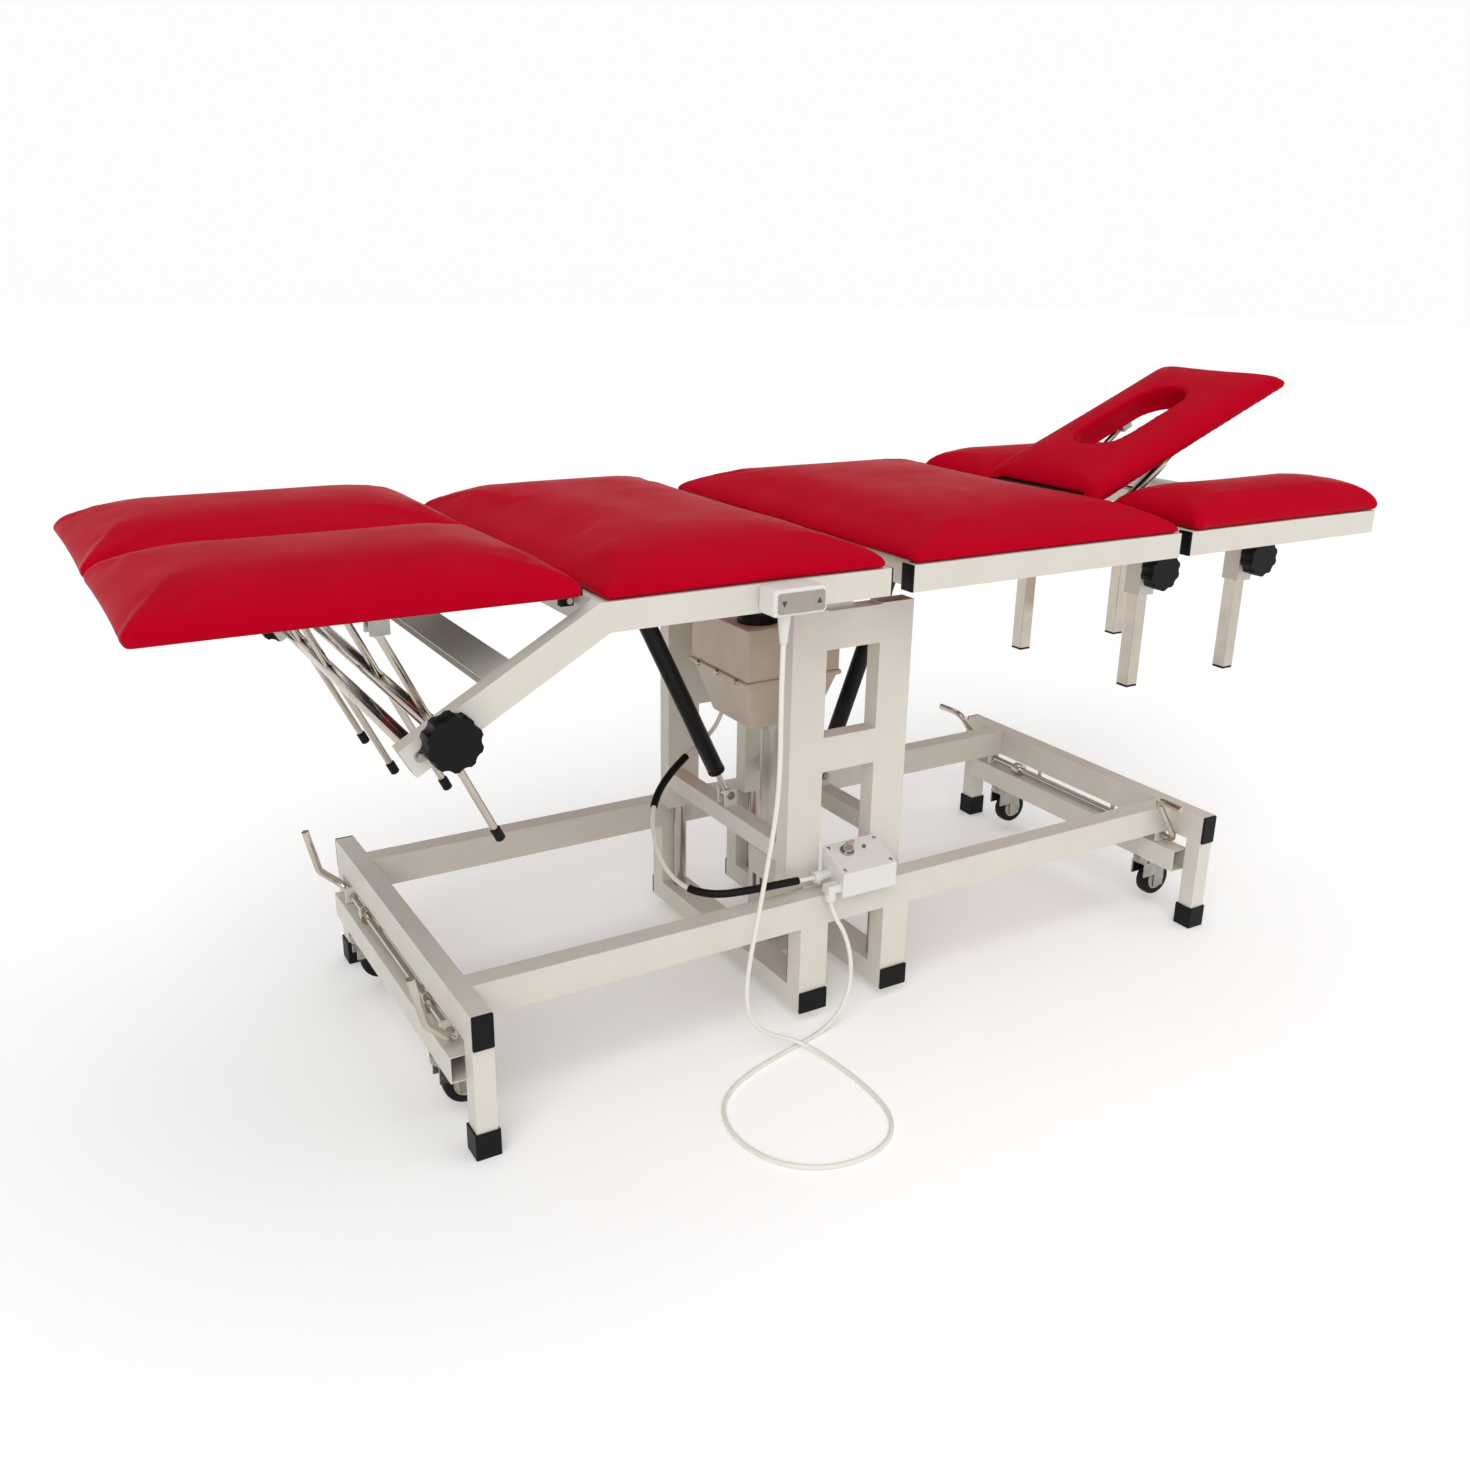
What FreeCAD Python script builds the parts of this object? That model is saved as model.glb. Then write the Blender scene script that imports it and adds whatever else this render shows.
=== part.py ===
import FreeCAD, Part
import Sketcher
import math
import os
import re
from FreeCAD import Placement, Rotation, Vector

# Electric treatment table: a welded base on four shoes, a lifting tower on guide rods, tilting seat and
# back sections on gas springs, two leg halves on sliding struts, a head section and two drop armrests.
# Millimetres. X runs along the table with +X at the head, -Y is the near side, Z is up from the floor.

SIZES = {
    # Welded base
    "tube_wall": 2,
    "overrun": 5,
    "beam_length": 634,
    "beam_width": 30,
    "beam_height": 50,
    "beam_top": 216,
    "left_beam_x": -640,
    "right_beam_x": 710,
    "rail_outer": 244,
    "rail_width": 34,
    "leg_width": 30,
    "shoe_width": 36,
    "shoe_height": 40,
    "shoe_floor": 6,
    "plug_plate": 4,
    "plug_depth": 16,
    "plug_clear": 0.2,
    "floor_beam_width": 50,
    "floor_beam_height": 36,
    "floor_beam_low": 20,
    "tie_plate_half": 70,
    "tie_plate_thick": 8,
    # Lift column and drive
    "column_x": 78,
    "column_y": 190,
    "column_width": 60,
    "column_depth": 30,
    "column_low": 214,
    "column_drop": 70,
    "guide_rod_radius": 11,
    "guide_rod_room": 147,
    "bush_height": 40,
    "running_clear": 0.05,
    "mid_bar_low": 400,
    "mid_bar_height": 55,
    "top_bar_drop": 131,
    "top_bar_height": 59,
    "lower_bar_low": 255,
    "lower_bar_size": 30,
    "post_width": 60,
    "post_wall": 3,
    "post_height": 160,
    "post_slot_width": 12,
    "post_slot_height": 34,
    "post_slot_pitch": 22,
    "post_slot_low": 105,
    "piston_radius": 15,
    "piston_reach": 20,
    "piston_room": 2,
    "drive_tube_radius": 25,
    "drive_tube_low": 205,
    "collar_radius": 33,
    "collar_height": 26,
    "motor_left": -112,
    "motor_right": 60,
    "motor_half": 88,
    "motor_drop": 122,
    "motor_lid_height": 83,
    "motor_sump_height": 87,
    "motor_wall": 3,
    "motor_taper": 26,
    "motor_rim": 3,
    "motor_rim_height": 8,
    "motor_plate_thick": 8,
    "motor_plate_half": 40,
    # Hinges on top of the tower
    "hinge_height": 722,
    "hinge_pin_radius": 6,
    "hinge_lug_thick": 12,
    "hinge_lug_margin": 10,
    "hinge_ear_thick": 10,
    "hinge_gap": 1,
    "seat_hinge_x": -40,
    "back_hinge_x": -8,
    # Top frames
    "top_rail_outer": 343,
    "top_rail_width": 25,
    "top_rail_drop": 20,
    "top_rail_height": 38,
    "cross_width": 30,
    "cross_setback": 16,
    "seat_left": -476,
    "seat_right": -44,
    "back_left": -5,
    "back_right": 515,
    "arm_left": 540,
    "arm_right": 994,
    # Diagonal arms under the leg halves
    "slant_length": 292,
    "slant_height": 40,
    "slant_angle": 29.7,
    "slant_start": 60,
    "slant_tie_along": 140,
    "slant_tie_width": 40,
    "slant_tie_height": 24,
    "near_tube_along": 238,
    "far_tube_along": 274,
    "strut_tube_radius": 10,
    "strut_stub_radius": 6,
    "strut_radius": 5,
    "strut_lean": 25.6,
    "strut_below": 165,
    "strut_eye_radius": 7,
    "strut_eye_width": 12,
    "strut_eye_rise": 2,
    "strut_tip_radius": 6,
    "strut_tip_length": 14,
    "strut_lug_gap": 3,
    "strut_lug_thick": 4,
    "strut_lug_half": 11,
    "strut_lug_drop": 16,
    "near_strut_outer": 295,
    "near_strut_inner": 100,
    "far_strut_outer": 185,
    "far_strut_inner": 38,
    # Leg halves
    "leg_hinge_x": -487,
    "leg_hinge_rise": 8,
    "leg_pin_radius": 4,
    "leg_lug_thick": 9,
    "leg_lug_half": 7,
    "leg_lug_rise": 6,
    "leg_ear_front": 5,
    "leg_ear_back": 13,
    "leg_ear_low": 6,
    "leg_hinge_inner": 60,
    "leg_hinge_outer": 270,
    "leg_left": -1003,
    "leg_right": -492,
    "leg_split": 4,
    "board_thick": 12,
    "board_inset": 18,
    "board_clear": 0.3,
    "leg_board_rise": 8,
    # Cushions
    "cushion_half": 349,
    "cushion_thick": 52,
    "cushion_corner": 10,
    "cushion_draw_in": 3,
    "seat_cushion_left": -472,
    "seat_cushion_right": -46,
    "back_cushion_left": -8,
    "back_cushion_right": 516,
    "arm_cushion_left": 543,
    "arm_cushion_right": 1003,
    "arm_cushion_inner": 153,
    # Head section
    "head_hinge_x": 527,
    "head_hinge_rise": 13,
    "head_angle": 22.5,
    "head_pin_radius": 5,
    "head_lug_y": 60,
    "head_lug_thick": 8,
    "head_lug_half": 8,
    "head_ear_thick": 10,
    "head_ear_back": 6,
    "head_ear_front": 40,
    "head_ear_low": 8,
    "head_board_low": 8,
    "head_left": 12,
    "head_length": 485,
    "head_half": 145,
    "head_thick": 46,
    "face_hole_x": 251,
    "face_hole_long": 118,
    "face_hole_wide": 54,
    "face_hole_board_room": 8,
    "head_strut_foot_x": 640,
    "head_strut_foot_drop": 6,
    "head_strut_along": 300,
    "head_strut_under": 6,
    "head_strut_y": 79,
    "head_strut_tie": 70,
    "head_strut_radius": 9,
    "head_strut_tube_start": 14,
    "head_strut_tube_end": 140,
    "head_strut_rod_radius": 5.5,
    "head_strut_rod_start": 66,
    "head_strut_eye_radius": 8,
    "head_strut_eye_width": 16,
    "head_strut_pin_radius": 4,
    # Armrest carrier and posts
    "carrier_inner": 96.5,
    "carrier_width": 30,
    "carrier_right": 930,
    "post_size": 25,
    "post_drop": 300,
    "post_first_x": 658,
    "post_second_x": 911,
    "sleeve_clear": 0.3,
    "sleeve_wall": 3,
    "sleeve_drop": 24,
    "sleeve_length": 110,
    "drop_plate_thick": 5,
    "drop_plate_half": 18,
    # Clamp knobs
    "knob_radius": 34,
    "knob_thick": 26,
    "knob_scallop_radius": 12,
    "knob_scallop_out": 9,
    "knob_hub_radius": 12,
    "arm_knob_neck": 12,
    "leg_knob_neck": 6,
    "knob_gap": 0.3,
    "arm_knob_drop": 85,
    # Gas springs
    "spring_foot_x": 93,
    "spring_foot_z": 303,
    "spring_lug_thick": 4,
    "spring_lug_half": 11,
    "spring_lug_over": 10,
    "spring_pin_radius": 4,
    "spring_eye_radius": 9,
    "spring_eye_width": 16,
    "spring_rod_radius": 5,
    "spring_rod_room": 91,
    "spring_barrel_radius": 14,
    "spring_barrel_start": 46,
    "spring_bore_floor": 75,
    "spring_neck_length": 22,
    "seat_spring_top_x": -276,
    "back_spring_top_x": 235,
    "spring_top_drop": 38,
    "spring_top_lug_gap": 3,
    "spring_top_lug_drop": 30,
    # Release levers
    "lever_thick": 8,
    "lever_width": 12,
    "lever_pin_radius": 4,
    "lever_drop": 14,
    "seat_lever_y": -105,
    "seat_lever_reach": 75,
    "seat_paddle_length": 46,
    "seat_paddle_width": 34,
    "back_lever_y": -232,
    "back_lever_reach": 60,
    "lever_lug_thick": 6,
    "lever_lug_half": 8,
    # Castor lift
    "shaft_back": 16,
    "shaft_drop": 14,
    "shaft_radius": 6,
    "pedal_y": 265,
    "pedal_bend_radius": 22,
    "left_pedal_out": 41,
    "left_pedal_up": 38,
    "left_tip_out": 57,
    "left_tip_up": 110,
    "right_pedal_in": 66,
    "right_pedal_up": 96,
    "right_tip_side": 60,
    "right_tip_in": 70,
    "bracket_half": 12,
    "bracket_drop": 25,
    "bracket_thick": 6,
    "bracket_y": 232,
    "cam_radius": 11.7,
    "cam_width": 20,
    "cam_y": 150,
    "castor_beam_half": 278,
    "castor_beam_width": 34,
    "castor_beam_low": 100,
    "castor_beam_height": 40,
    "beam_guide_radius": 4,
    "beam_guide_y": 100,
    "beam_guide_front": 10.5,
    "beam_guide_low": 88,
    "castor_y": 198,
    "castor_gap": 0.3,
    "castor_trail": 28,
    "castor_drop": 52,
    "wheel_radius": 32,
    "wheel_width": 22,
    "hub_radius": 21,
    "hub_width": 24,
    "axle_radius": 4,
    "fork_disc_radius": 19,
    "fork_disc_height": 12,
    "fork_inner": 13,
    "fork_thick": 3,
    "fork_back": 12,
    "fork_front": 12,
    "fork_low": 12,
    # Controls
    "control_left": -45,
    "control_right": 55,
    "control_front": -268,
    "control_back": -209,
    "control_front_height": 39,
    "control_back_height": 64,
    "control_wall": 3,
    "gland_radius": 8,
    "gland_length": 26,
    "gland_block": 24,
    "hand_gland_x": -60,
    "hand_gland_y": -256,
    "hand_gland_low": 212,
    "motor_gland_y": -228,
    "motor_gland_z": 240,
    "key_x": -12,
    "key_y": -228,
    "key_radius": 8,
    "key_height": 9,
    "key_bow_width": 14,
    "key_bow_height": 13,
    "key_bow_thick": 3,
    "lamp_x": 20,
    "lamp_radius": 3,
    "lamp_height": 3,
    "hand_left": -256,
    "hand_right": -175,
    "hand_drop": 18.5,
    "hand_height": 36,
    "hand_thick": 41,
    "hand_round": 6,
    "button_width": 12,
    "button_height": 20,
    "button_deep": 8,
    "button_proud": 1,
    "button_clear": 0.4,
    "button_spread": 26.5,
    "relief_x": -228,
    "relief_length": 39.5,
    "relief_top_radius": 9,
    "relief_low_radius": 5,
    "cord_radius": 3.5,
}
SCALLOPS = 10

# Heights of the lifted parts, measured from the hinges of the seat and back sections
HEIGHTS = {
    "top_rail_low": "hinge_height - top_rail_drop",
    "column_high": "hinge_height - column_drop",
    "top_bar_low": "hinge_height - top_bar_drop",
    "motor_high": "hinge_height - motor_drop",
    "motor_seam": "motor_high - motor_lid_height",
    "motor_low": "motor_seam - motor_sump_height",
    "piston_top": "motor_low + piston_reach",
    "guide_rod_top": "column_high - guide_rod_room",
    "strut_eye_height": "hinge_height + strut_eye_rise",
    "leg_hinge_z": "hinge_height + leg_hinge_rise",
    "head_hinge_z": "hinge_height + head_hinge_rise",
    "head_strut_foot_z": "hinge_height - head_strut_foot_drop",
    "post_low": "hinge_height - post_drop",
    "sleeve_high": "hinge_height - sleeve_drop",
    "sleeve_low": "sleeve_high - sleeve_length",
    "arm_knob_height": "hinge_height - arm_knob_drop",
    "spring_top_z": "hinge_height - spring_top_drop",
    "hand_low": "hinge_height - hand_drop",
    "hand_high": "hand_low + hand_height",
}

doc = FreeCAD.newDocument("treatment_table")
dims = doc.addObject("Spreadsheet::Sheet", "dims")
for row, (alias, value) in enumerate(SIZES.items(), 1):
    dims.set(f"A{row}", alias)
    dims.set(f"B{row}", str(value))
    dims.setAlias(f"B{row}", alias)
doc.recompute()

NODES = []


def size(alias):
    """A driving dimension read from the sheet."""
    return float(dims.get(alias))


def linked(text):
    """An expression in the sheet's words, with each word tied to its cell and each height worked out."""
    def tie(word):
        if word[0] in HEIGHTS:
            return "(" + linked(HEIGHTS[word[0]]) + ")"
        return "dims." + word[0] if word[0] in SIZES else word[0]

    return re.sub(r"[a-z_]+", tie, text)


def bind(thing, prop, text):
    thing.setExpression(prop, linked(text))


def box(name, x, y, z):
    """A block between pairs of expressions along X, Y and Z."""
    block = doc.addObject("Part::Box", name)
    for side, base, (low, high) in (("Length", "x", x), ("Width", "y", y), ("Height", "z", z)):
        bind(block, side, f"({high}) - ({low})")
        bind(block, "Placement.Base." + base, low)
    return block


TURNS = {"x": Rotation(Vector(0, 1, 0), 90), "y": Rotation(Vector(1, 0, 0), -90), "z": Rotation()}


def cylinder(name, along, radius, span, centre):
    """A cylinder along X, Y or Z, with its centre given on the two other axes in X, Y, Z order."""
    rod = doc.addObject("Part::Cylinder", name)
    rod.Placement = Placement(Vector(), TURNS[along])
    bind(rod, "Radius", radius)
    bind(rod, "Height", f"({span[1]}) - ({span[0]})")
    bind(rod, "Placement.Base." + along, span[0])
    for axis, place in zip([axis for axis in "xyz" if axis != along], centre):
        bind(rod, "Placement.Base." + axis, place)
    return rod


def cut(name, base, *tools):
    tool = tools[0]
    if len(tools) > 1:
        tool = fuse(name + "_tools", *tools)
    result = doc.addObject("Part::Cut", name)
    result.Base = base
    result.Tool = tool
    return result


def fuse(name, *pieces):
    result = doc.addObject("Part::MultiFuse", name)
    result.Shapes = list(pieces)
    return result


def tube(name, x, y, z, along, wall="tube_wall"):
    """A square or rectangular tube, open at both ends along one axis."""
    inner = []
    for axis, (low, high) in zip("xyz", (x, y, z)):
        room = "-(overrun)" if axis == along else wall
        inner.append((f"({low}) + {room}", f"({high}) - ({room})"))
    return cut(name, box(name + "_outside", x, y, z), box(name + "_inside", *inner))


def side(sign, low, high):
    """A span across the table on the far side, or mirrored to the near side."""
    return (low, high) if sign > 0 else (f"-({high})", f"-({low})")


def about(centre, half):
    return (f"({centre}) - ({half})", f"({centre}) + ({half})")


def place(thing, base, turn_axis=None, angle=None):
    if turn_axis:
        thing.Placement = Placement(Vector(), Rotation(turn_axis, 1))
        bind(thing, "Placement.Rotation.Angle", angle)
    for axis, text in zip("xyz", base):
        bind(thing, "Placement.Base." + axis, text)
    return thing


def node(label, pieces, base=None, turn_axis=None, angle=None):
    """A named sub-part: a group of solids with a placement of its own."""
    group = doc.addObject("Part::Compound", "node_" + label)
    group.Links = pieces
    group.Label = label
    if base:
        place(group, base, turn_axis, angle)
    NODES.append(group)
    return group


def feature(name, shape):
    thing = doc.addObject("Part::Feature", name)
    thing.Shape = shape
    return thing


SIDES = (("far", 1), ("near", -1))
ENDS = (("left", "left_beam_x"), ("right", "right_beam_x"))
Y_AXIS = Vector(0, 1, 0)
BEAM_LOW = "(beam_top - beam_height)"
RAIL_TOP = "(top_rail_low + top_rail_height)"
RAIL_Z = ("top_rail_low", RAIL_TOP)
RAIL_INNER = "(top_rail_outer - top_rail_width)"
FLOOR_BEAM_TOP = "(floor_beam_low + floor_beam_height)"
TIE_TOP = "(floor_beam_low + tie_plate_thick)"


# Welded base frame
def base_frame():
    tubes = []
    beam_z = (BEAM_LOW, "beam_top")
    rail_x = ("left_beam_x + beam_width / 2", "right_beam_x - beam_width / 2")
    for name, sign in SIDES:
        rail_y = side(sign, "rail_outer - rail_width", "rail_outer")
        tubes.append(tube(f"{name}_rail", rail_x, rail_y, beam_z, "x"))
        leg_y = side(sign, "beam_length / 2 - leg_width", "beam_length / 2")
        for end, beam_x in ENDS:
            leg_x = about(beam_x, "leg_width / 2")
            tubes.append(tube(f"{end}_{name}_leg", leg_x, leg_y, ("shoe_floor", BEAM_LOW), "z"))
        for end, beam_x in (("left", "-column_x"), ("right", "column_x")):
            short_x = about(beam_x, "floor_beam_width / 2")
            tubes.append(tube(f"{end}_{name}_short_leg", short_x, rail_y, (FLOOR_BEAM_TOP, BEAM_LOW), "z"))
    for end, beam_x in ENDS:
        across = about("0", "beam_length / 2")
        tubes.append(tube(f"{end}_crossbeam", about(beam_x, "beam_width / 2"), across, beam_z, "y"))
        shaft = (f"{beam_x} - shaft_back", f"{BEAM_LOW} - shaft_drop")
        for name, sign in SIDES:
            bracket_y = side(sign, "bracket_y - bracket_thick", "bracket_y")
            plate = box(f"{end}_{name}_bracket_plate", about(shaft[0], "bracket_half"), bracket_y,
                        (f"{BEAM_LOW} - bracket_drop", BEAM_LOW))
            hole = cylinder(f"{end}_{name}_bracket_hole", "y", "shaft_radius + running_clear",
                            about(bracket_y[0], "overrun * 3"), shaft)
            tubes.append(cut(f"{end}_{name}_bracket", plate, hole))
            guide_y = "beam_guide_y" if sign > 0 else "-beam_guide_y"
            tubes.append(cylinder(f"{end}_{name}_beam_guide", "z", "beam_guide_radius",
                                  ("beam_guide_low", BEAM_LOW), (f"{shaft[0]} + beam_guide_front", guide_y)))
    for end, beam_x in (("left", "-column_x"), ("right", "column_x")):
        tubes.append(tube(f"{end}_floor_beam", about(beam_x, "floor_beam_width / 2"),
                          about("0", "rail_outer"),
                          ("floor_beam_low", FLOOR_BEAM_TOP), "y"))
    tubes.append(box("tie_plate", about("0", "column_x - floor_beam_width / 2"), about("0", "tie_plate_half"),
                     ("floor_beam_low", TIE_TOP)))
    node("base_frame", tubes)


def end_plug(name, x, z, sign, end):
    """A plastic plug: a plate over a tube's end and a stem inside it."""
    plate = box(name + "_plate", x, side(sign, end, f"{end} + plug_plate"), z)
    stem_x = (f"{x[0]} + tube_wall + plug_clear", f"{x[1]} - tube_wall - plug_clear")
    stem_z = (f"{z[0]} + tube_wall + plug_clear", f"{z[1]} - tube_wall - plug_clear")
    stem = box(name + "_stem", stem_x, side(sign, f"{end} - plug_depth", end), stem_z)
    return fuse(name, plate, stem)


def shoes_and_plugs():
    pieces = []
    for name, sign in SIDES:
        middle = "beam_length / 2 - leg_width / 2"
        shoe_y = side(sign, f"{middle} - shoe_width / 2", f"{middle} + shoe_width / 2")
        leg_y = side(sign, "beam_length / 2 - leg_width", "beam_length / 2")
        for end, beam_x in ENDS:
            block = box(f"{end}_{name}_shoe_block", about(beam_x, "shoe_width / 2"), shoe_y,
                        ("0", "shoe_height"))
            pocket = box(f"{end}_{name}_shoe_pocket", about(beam_x, "leg_width / 2"), leg_y,
                         ("shoe_floor", "shoe_height + overrun"))
            pieces.append(cut(f"{end}_{name}_shoe", block, pocket))
            pieces.append(end_plug(f"{end}_{name}_beam_plug", about(beam_x, "beam_width / 2"),
                                   (BEAM_LOW, "beam_top"), sign, "beam_length / 2"))
        for end, beam_x in (("left", "-column_x"), ("right", "column_x")):
            pieces.append(end_plug(f"{end}_{name}_floor_plug", about(beam_x, "floor_beam_width / 2"),
                                   ("floor_beam_low", FLOOR_BEAM_TOP), sign, "rail_outer"))
    node("shoes_and_plugs", pieces)


# Guide rods, with the lift piston between them
def guide_rods():
    rods = []
    for name, sign in SIDES:
        for end, x in (("left", "-column_x"), ("right", "column_x")):
            y = "column_y" if sign > 0 else "-column_y"
            rods.append(cylinder(f"{end}_{name}_rod", "z", "guide_rod_radius",
                                 (FLOOR_BEAM_TOP, "guide_rod_top"), (x, y)))
    rods.append(cylinder("piston", "z", "piston_radius", (TIE_TOP, "piston_top"), ("0", "0")))
    node("guide_rods", rods)


def actuator_post():
    half = about("0", "post_width / 2")
    post = tube("post_tube", half, half, (TIE_TOP, f"{TIE_TOP} + post_height"), "z", "post_wall")
    slots = []
    for number, sign in enumerate((-1, 1)):
        centre = f"{sign} * post_slot_pitch / 2"
        slots.append(box(f"post_slot_{number}",
                         ("-post_width / 2 - overrun", "-post_width / 2 + post_wall + overrun"),
                         about(centre, "post_slot_width / 2"),
                         ("post_slot_low", "post_slot_low + post_slot_height")))
    node("actuator_post", [cut("slotted_post", post, *slots)])


# Lifting tower
def tower_frame():
    pieces = []
    bar_x = about("0", "column_x - column_width / 2")
    for name, sign in SIDES:
        column_y = side(sign, "column_y - column_depth / 2", "column_y + column_depth / 2")
        for end, x in (("left", "-column_x"), ("right", "column_x")):
            pieces.append(tube(f"{end}_{name}_column", about(x, "column_width / 2"), column_y,
                               ("column_low", "column_high"), "z"))
        for bar in ("mid_bar", "top_bar"):
            pieces.append(tube(f"{name}_{bar}", bar_x, column_y, (f"{bar}_low", f"{bar}_low + {bar}_height"),
                               "x"))
        lug_y = side(sign, "column_y - hinge_lug_thick / 2", "column_y + hinge_lug_thick / 2")
        lug_x = ("seat_hinge_x - hinge_lug_margin", "back_hinge_x + hinge_lug_margin")
        pieces.append(box(f"{name}_hinge_lug", lug_x, lug_y,
                          ("top_bar_low + top_bar_height", "hinge_height + hinge_lug_margin")))
        pin_y = side(sign, "column_y + hinge_lug_thick / 2",
                     "column_y + hinge_lug_thick / 2 + hinge_gap + hinge_ear_thick")
        for section in ("seat", "back"):
            pieces.append(cylinder(f"{name}_{section}_pin", "y", "hinge_pin_radius", pin_y,
                                   (f"{section}_hinge_x", "hinge_height")))
    lower_y = about("0", "column_y - column_depth / 2")
    lower_z = ("lower_bar_low", "lower_bar_low + lower_bar_size")
    outside = "column_x + column_width / 2"
    for end, sign in (("right", 1), ("left", -1)):
        pieces.append(tube(f"{end}_lower_bar", side(sign, f"{outside} - lower_bar_size", outside), lower_y,
                           lower_z, "y"))
        foot_x = "spring_foot_x" if sign > 0 else "-spring_foot_x"
        for name, hand in SIDES:
            lug_y = side(hand, "spring_eye_width / 2 + hinge_gap",
                         "spring_eye_width / 2 + hinge_gap + spring_lug_thick")
            pieces.append(box(f"{end}_{name}_spring_lug", about(foot_x, "spring_lug_half"), lug_y,
                              (lower_z[1], "spring_foot_z + spring_lug_over")))
        pieces.append(cylinder(f"{end}_spring_pin", "y", "spring_pin_radius",
                               about("0", "spring_eye_width / 2 + hinge_gap"), (foot_x, "spring_foot_z")))
    pieces.append(box("motor_plate", about("0", "motor_plate_half"), lower_y,
                      ("motor_high", "motor_high + motor_plate_thick")))
    node("tower_frame", pieces)


def guide_bushes():
    bushes = []
    for name, sign in SIDES:
        y = "column_y" if sign > 0 else "-column_y"
        for end, x in (("left", "-column_x"), ("right", "column_x")):
            block = box(f"{end}_{name}_bush_block", about(x, "column_width / 2 - tube_wall"),
                        about(y, "column_depth / 2 - tube_wall"), ("column_low", "column_low + bush_height"))
            bore = cylinder(f"{end}_{name}_bush_bore", "z", "guide_rod_radius + running_clear",
                            ("column_low - overrun", "column_low + bush_height + overrun"), (x, y))
            bushes.append(cut(f"{end}_{name}_bush", block, bore))
    node("guide_bushes", bushes)


def tapered(name, shrink):
    """The motor box's lower half, drawn in towards its foot, smaller all round by a wall."""
    wedge = doc.addObject("Part::Wedge", name)
    wedge.Placement = Placement(Vector(), Rotation(Vector(1, 0, 0), 90))
    bind(wedge, "Xmin", f"motor_left + motor_taper + {shrink}")
    bind(wedge, "Xmax", f"motor_right - motor_taper - {shrink}")
    bind(wedge, "X2min", f"motor_left + {shrink}")
    bind(wedge, "X2max", f"motor_right - {shrink}")
    bind(wedge, "Zmin", f"-motor_half + motor_taper + {shrink}")
    bind(wedge, "Zmax", f"motor_half - motor_taper - {shrink}")
    bind(wedge, "Z2min", f"-motor_half + {shrink}")
    bind(wedge, "Z2max", f"motor_half - {shrink}")
    bind(wedge, "Ymin", f"motor_low + {shrink}")
    bind(wedge, "Ymax", "motor_seam")
    return wedge


def motor_box():
    bore = cylinder("piston_room_bore", "z", "piston_radius + piston_room",
                    ("motor_low - overrun", "motor_high - motor_wall"), ("0", "0"))
    top = box("motor_top_block", ("motor_left", "motor_right"), about("0", "motor_half"),
              ("motor_seam", "motor_high"))
    top_room = box("motor_top_room", ("motor_left + motor_wall", "motor_right - motor_wall"),
                   about("0", "motor_half - motor_wall"), ("motor_seam - overrun", "motor_high - motor_wall"))
    rim = box("motor_rim_block", ("motor_left - motor_rim", "motor_right + motor_rim"),
              about("0", "motor_half + motor_rim"), ("motor_seam - motor_rim_height", "motor_seam"))
    lower = fuse("motor_lower_block", tapered("motor_taper_block", "0"), rim)
    lower_half = cut("motor_lower_half", lower, tapered("motor_taper_room", "motor_wall"), bore)
    node("motor_box", [cut("motor_upper_half", top, top_room), lower_half])


def actuator_tube():
    body = cylinder("drive_tube_body", "z", "drive_tube_radius", ("drive_tube_low", "motor_low"), ("0", "0"))
    collar = cylinder("drive_collar", "z", "collar_radius", ("motor_low - collar_height", "motor_low"),
                      ("0", "0"))
    bore = cylinder("drive_tube_bore", "z", "piston_radius + piston_room",
                    ("drive_tube_low - overrun", "motor_low + overrun"), ("0", "0"))
    node("actuator_tube", [cut("drive_tube", fuse("drive_tube_blank", body, collar), bore)])


# Top frames
def side_rails(section):
    rails = []
    for name, sign in SIDES:
        rails.append(tube(f"{section}_{name}_rail", (f"{section}_left", f"{section}_right"),
                          side(sign, RAIL_INNER, "top_rail_outer"), RAIL_Z, "x"))
    return rails


def cross_member(name, x):
    return tube(name, x, about("0", RAIL_INNER), RAIL_Z, "y")


def hinge_ears(section, x):
    """Plates on a section's end that turn on the tower's pins."""
    ears = []
    inner = "column_y + hinge_lug_thick / 2 + hinge_gap"
    for name, sign in SIDES:
        ear_y = side(sign, inner, f"{inner} + hinge_ear_thick")
        plate = box(f"{section}_{name}_ear_plate", x, ear_y,
                    ("top_rail_low", "hinge_height + hinge_lug_margin"))
        hole = cylinder(f"{section}_{name}_ear_hole", "y", "hinge_pin_radius + running_clear",
                        about(ear_y[0], "overrun * 4"), (f"{section}_hinge_x", "hinge_height"))
        ears.append(cut(f"{section}_{name}_ear", plate, hole))
    return ears


def spring_top_lugs(section):
    lugs = []
    for name, sign in SIDES:
        inner = "spring_eye_width / 2 + spring_top_lug_gap"
        lugs.append(box(f"{section}_{name}_top_lug", about(f"{section}_spring_top_x", "spring_lug_half"),
                        side(sign, inner, f"{inner} + spring_lug_thick"),
                        ("top_rail_low - spring_top_lug_drop", "top_rail_low")))
    return lugs


def slanted(name, x, y, z):
    """A tube in the slanted arm's own frame: X back along the arm, Z up from its top edge at the bend."""
    along = "x" if y[0] != "-" + RAIL_INNER else "y"
    piece = tube(name, x, y, z, along)
    return place(piece, ("seat_left", "0", RAIL_TOP), Y_AXIS, "-slant_angle")


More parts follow.
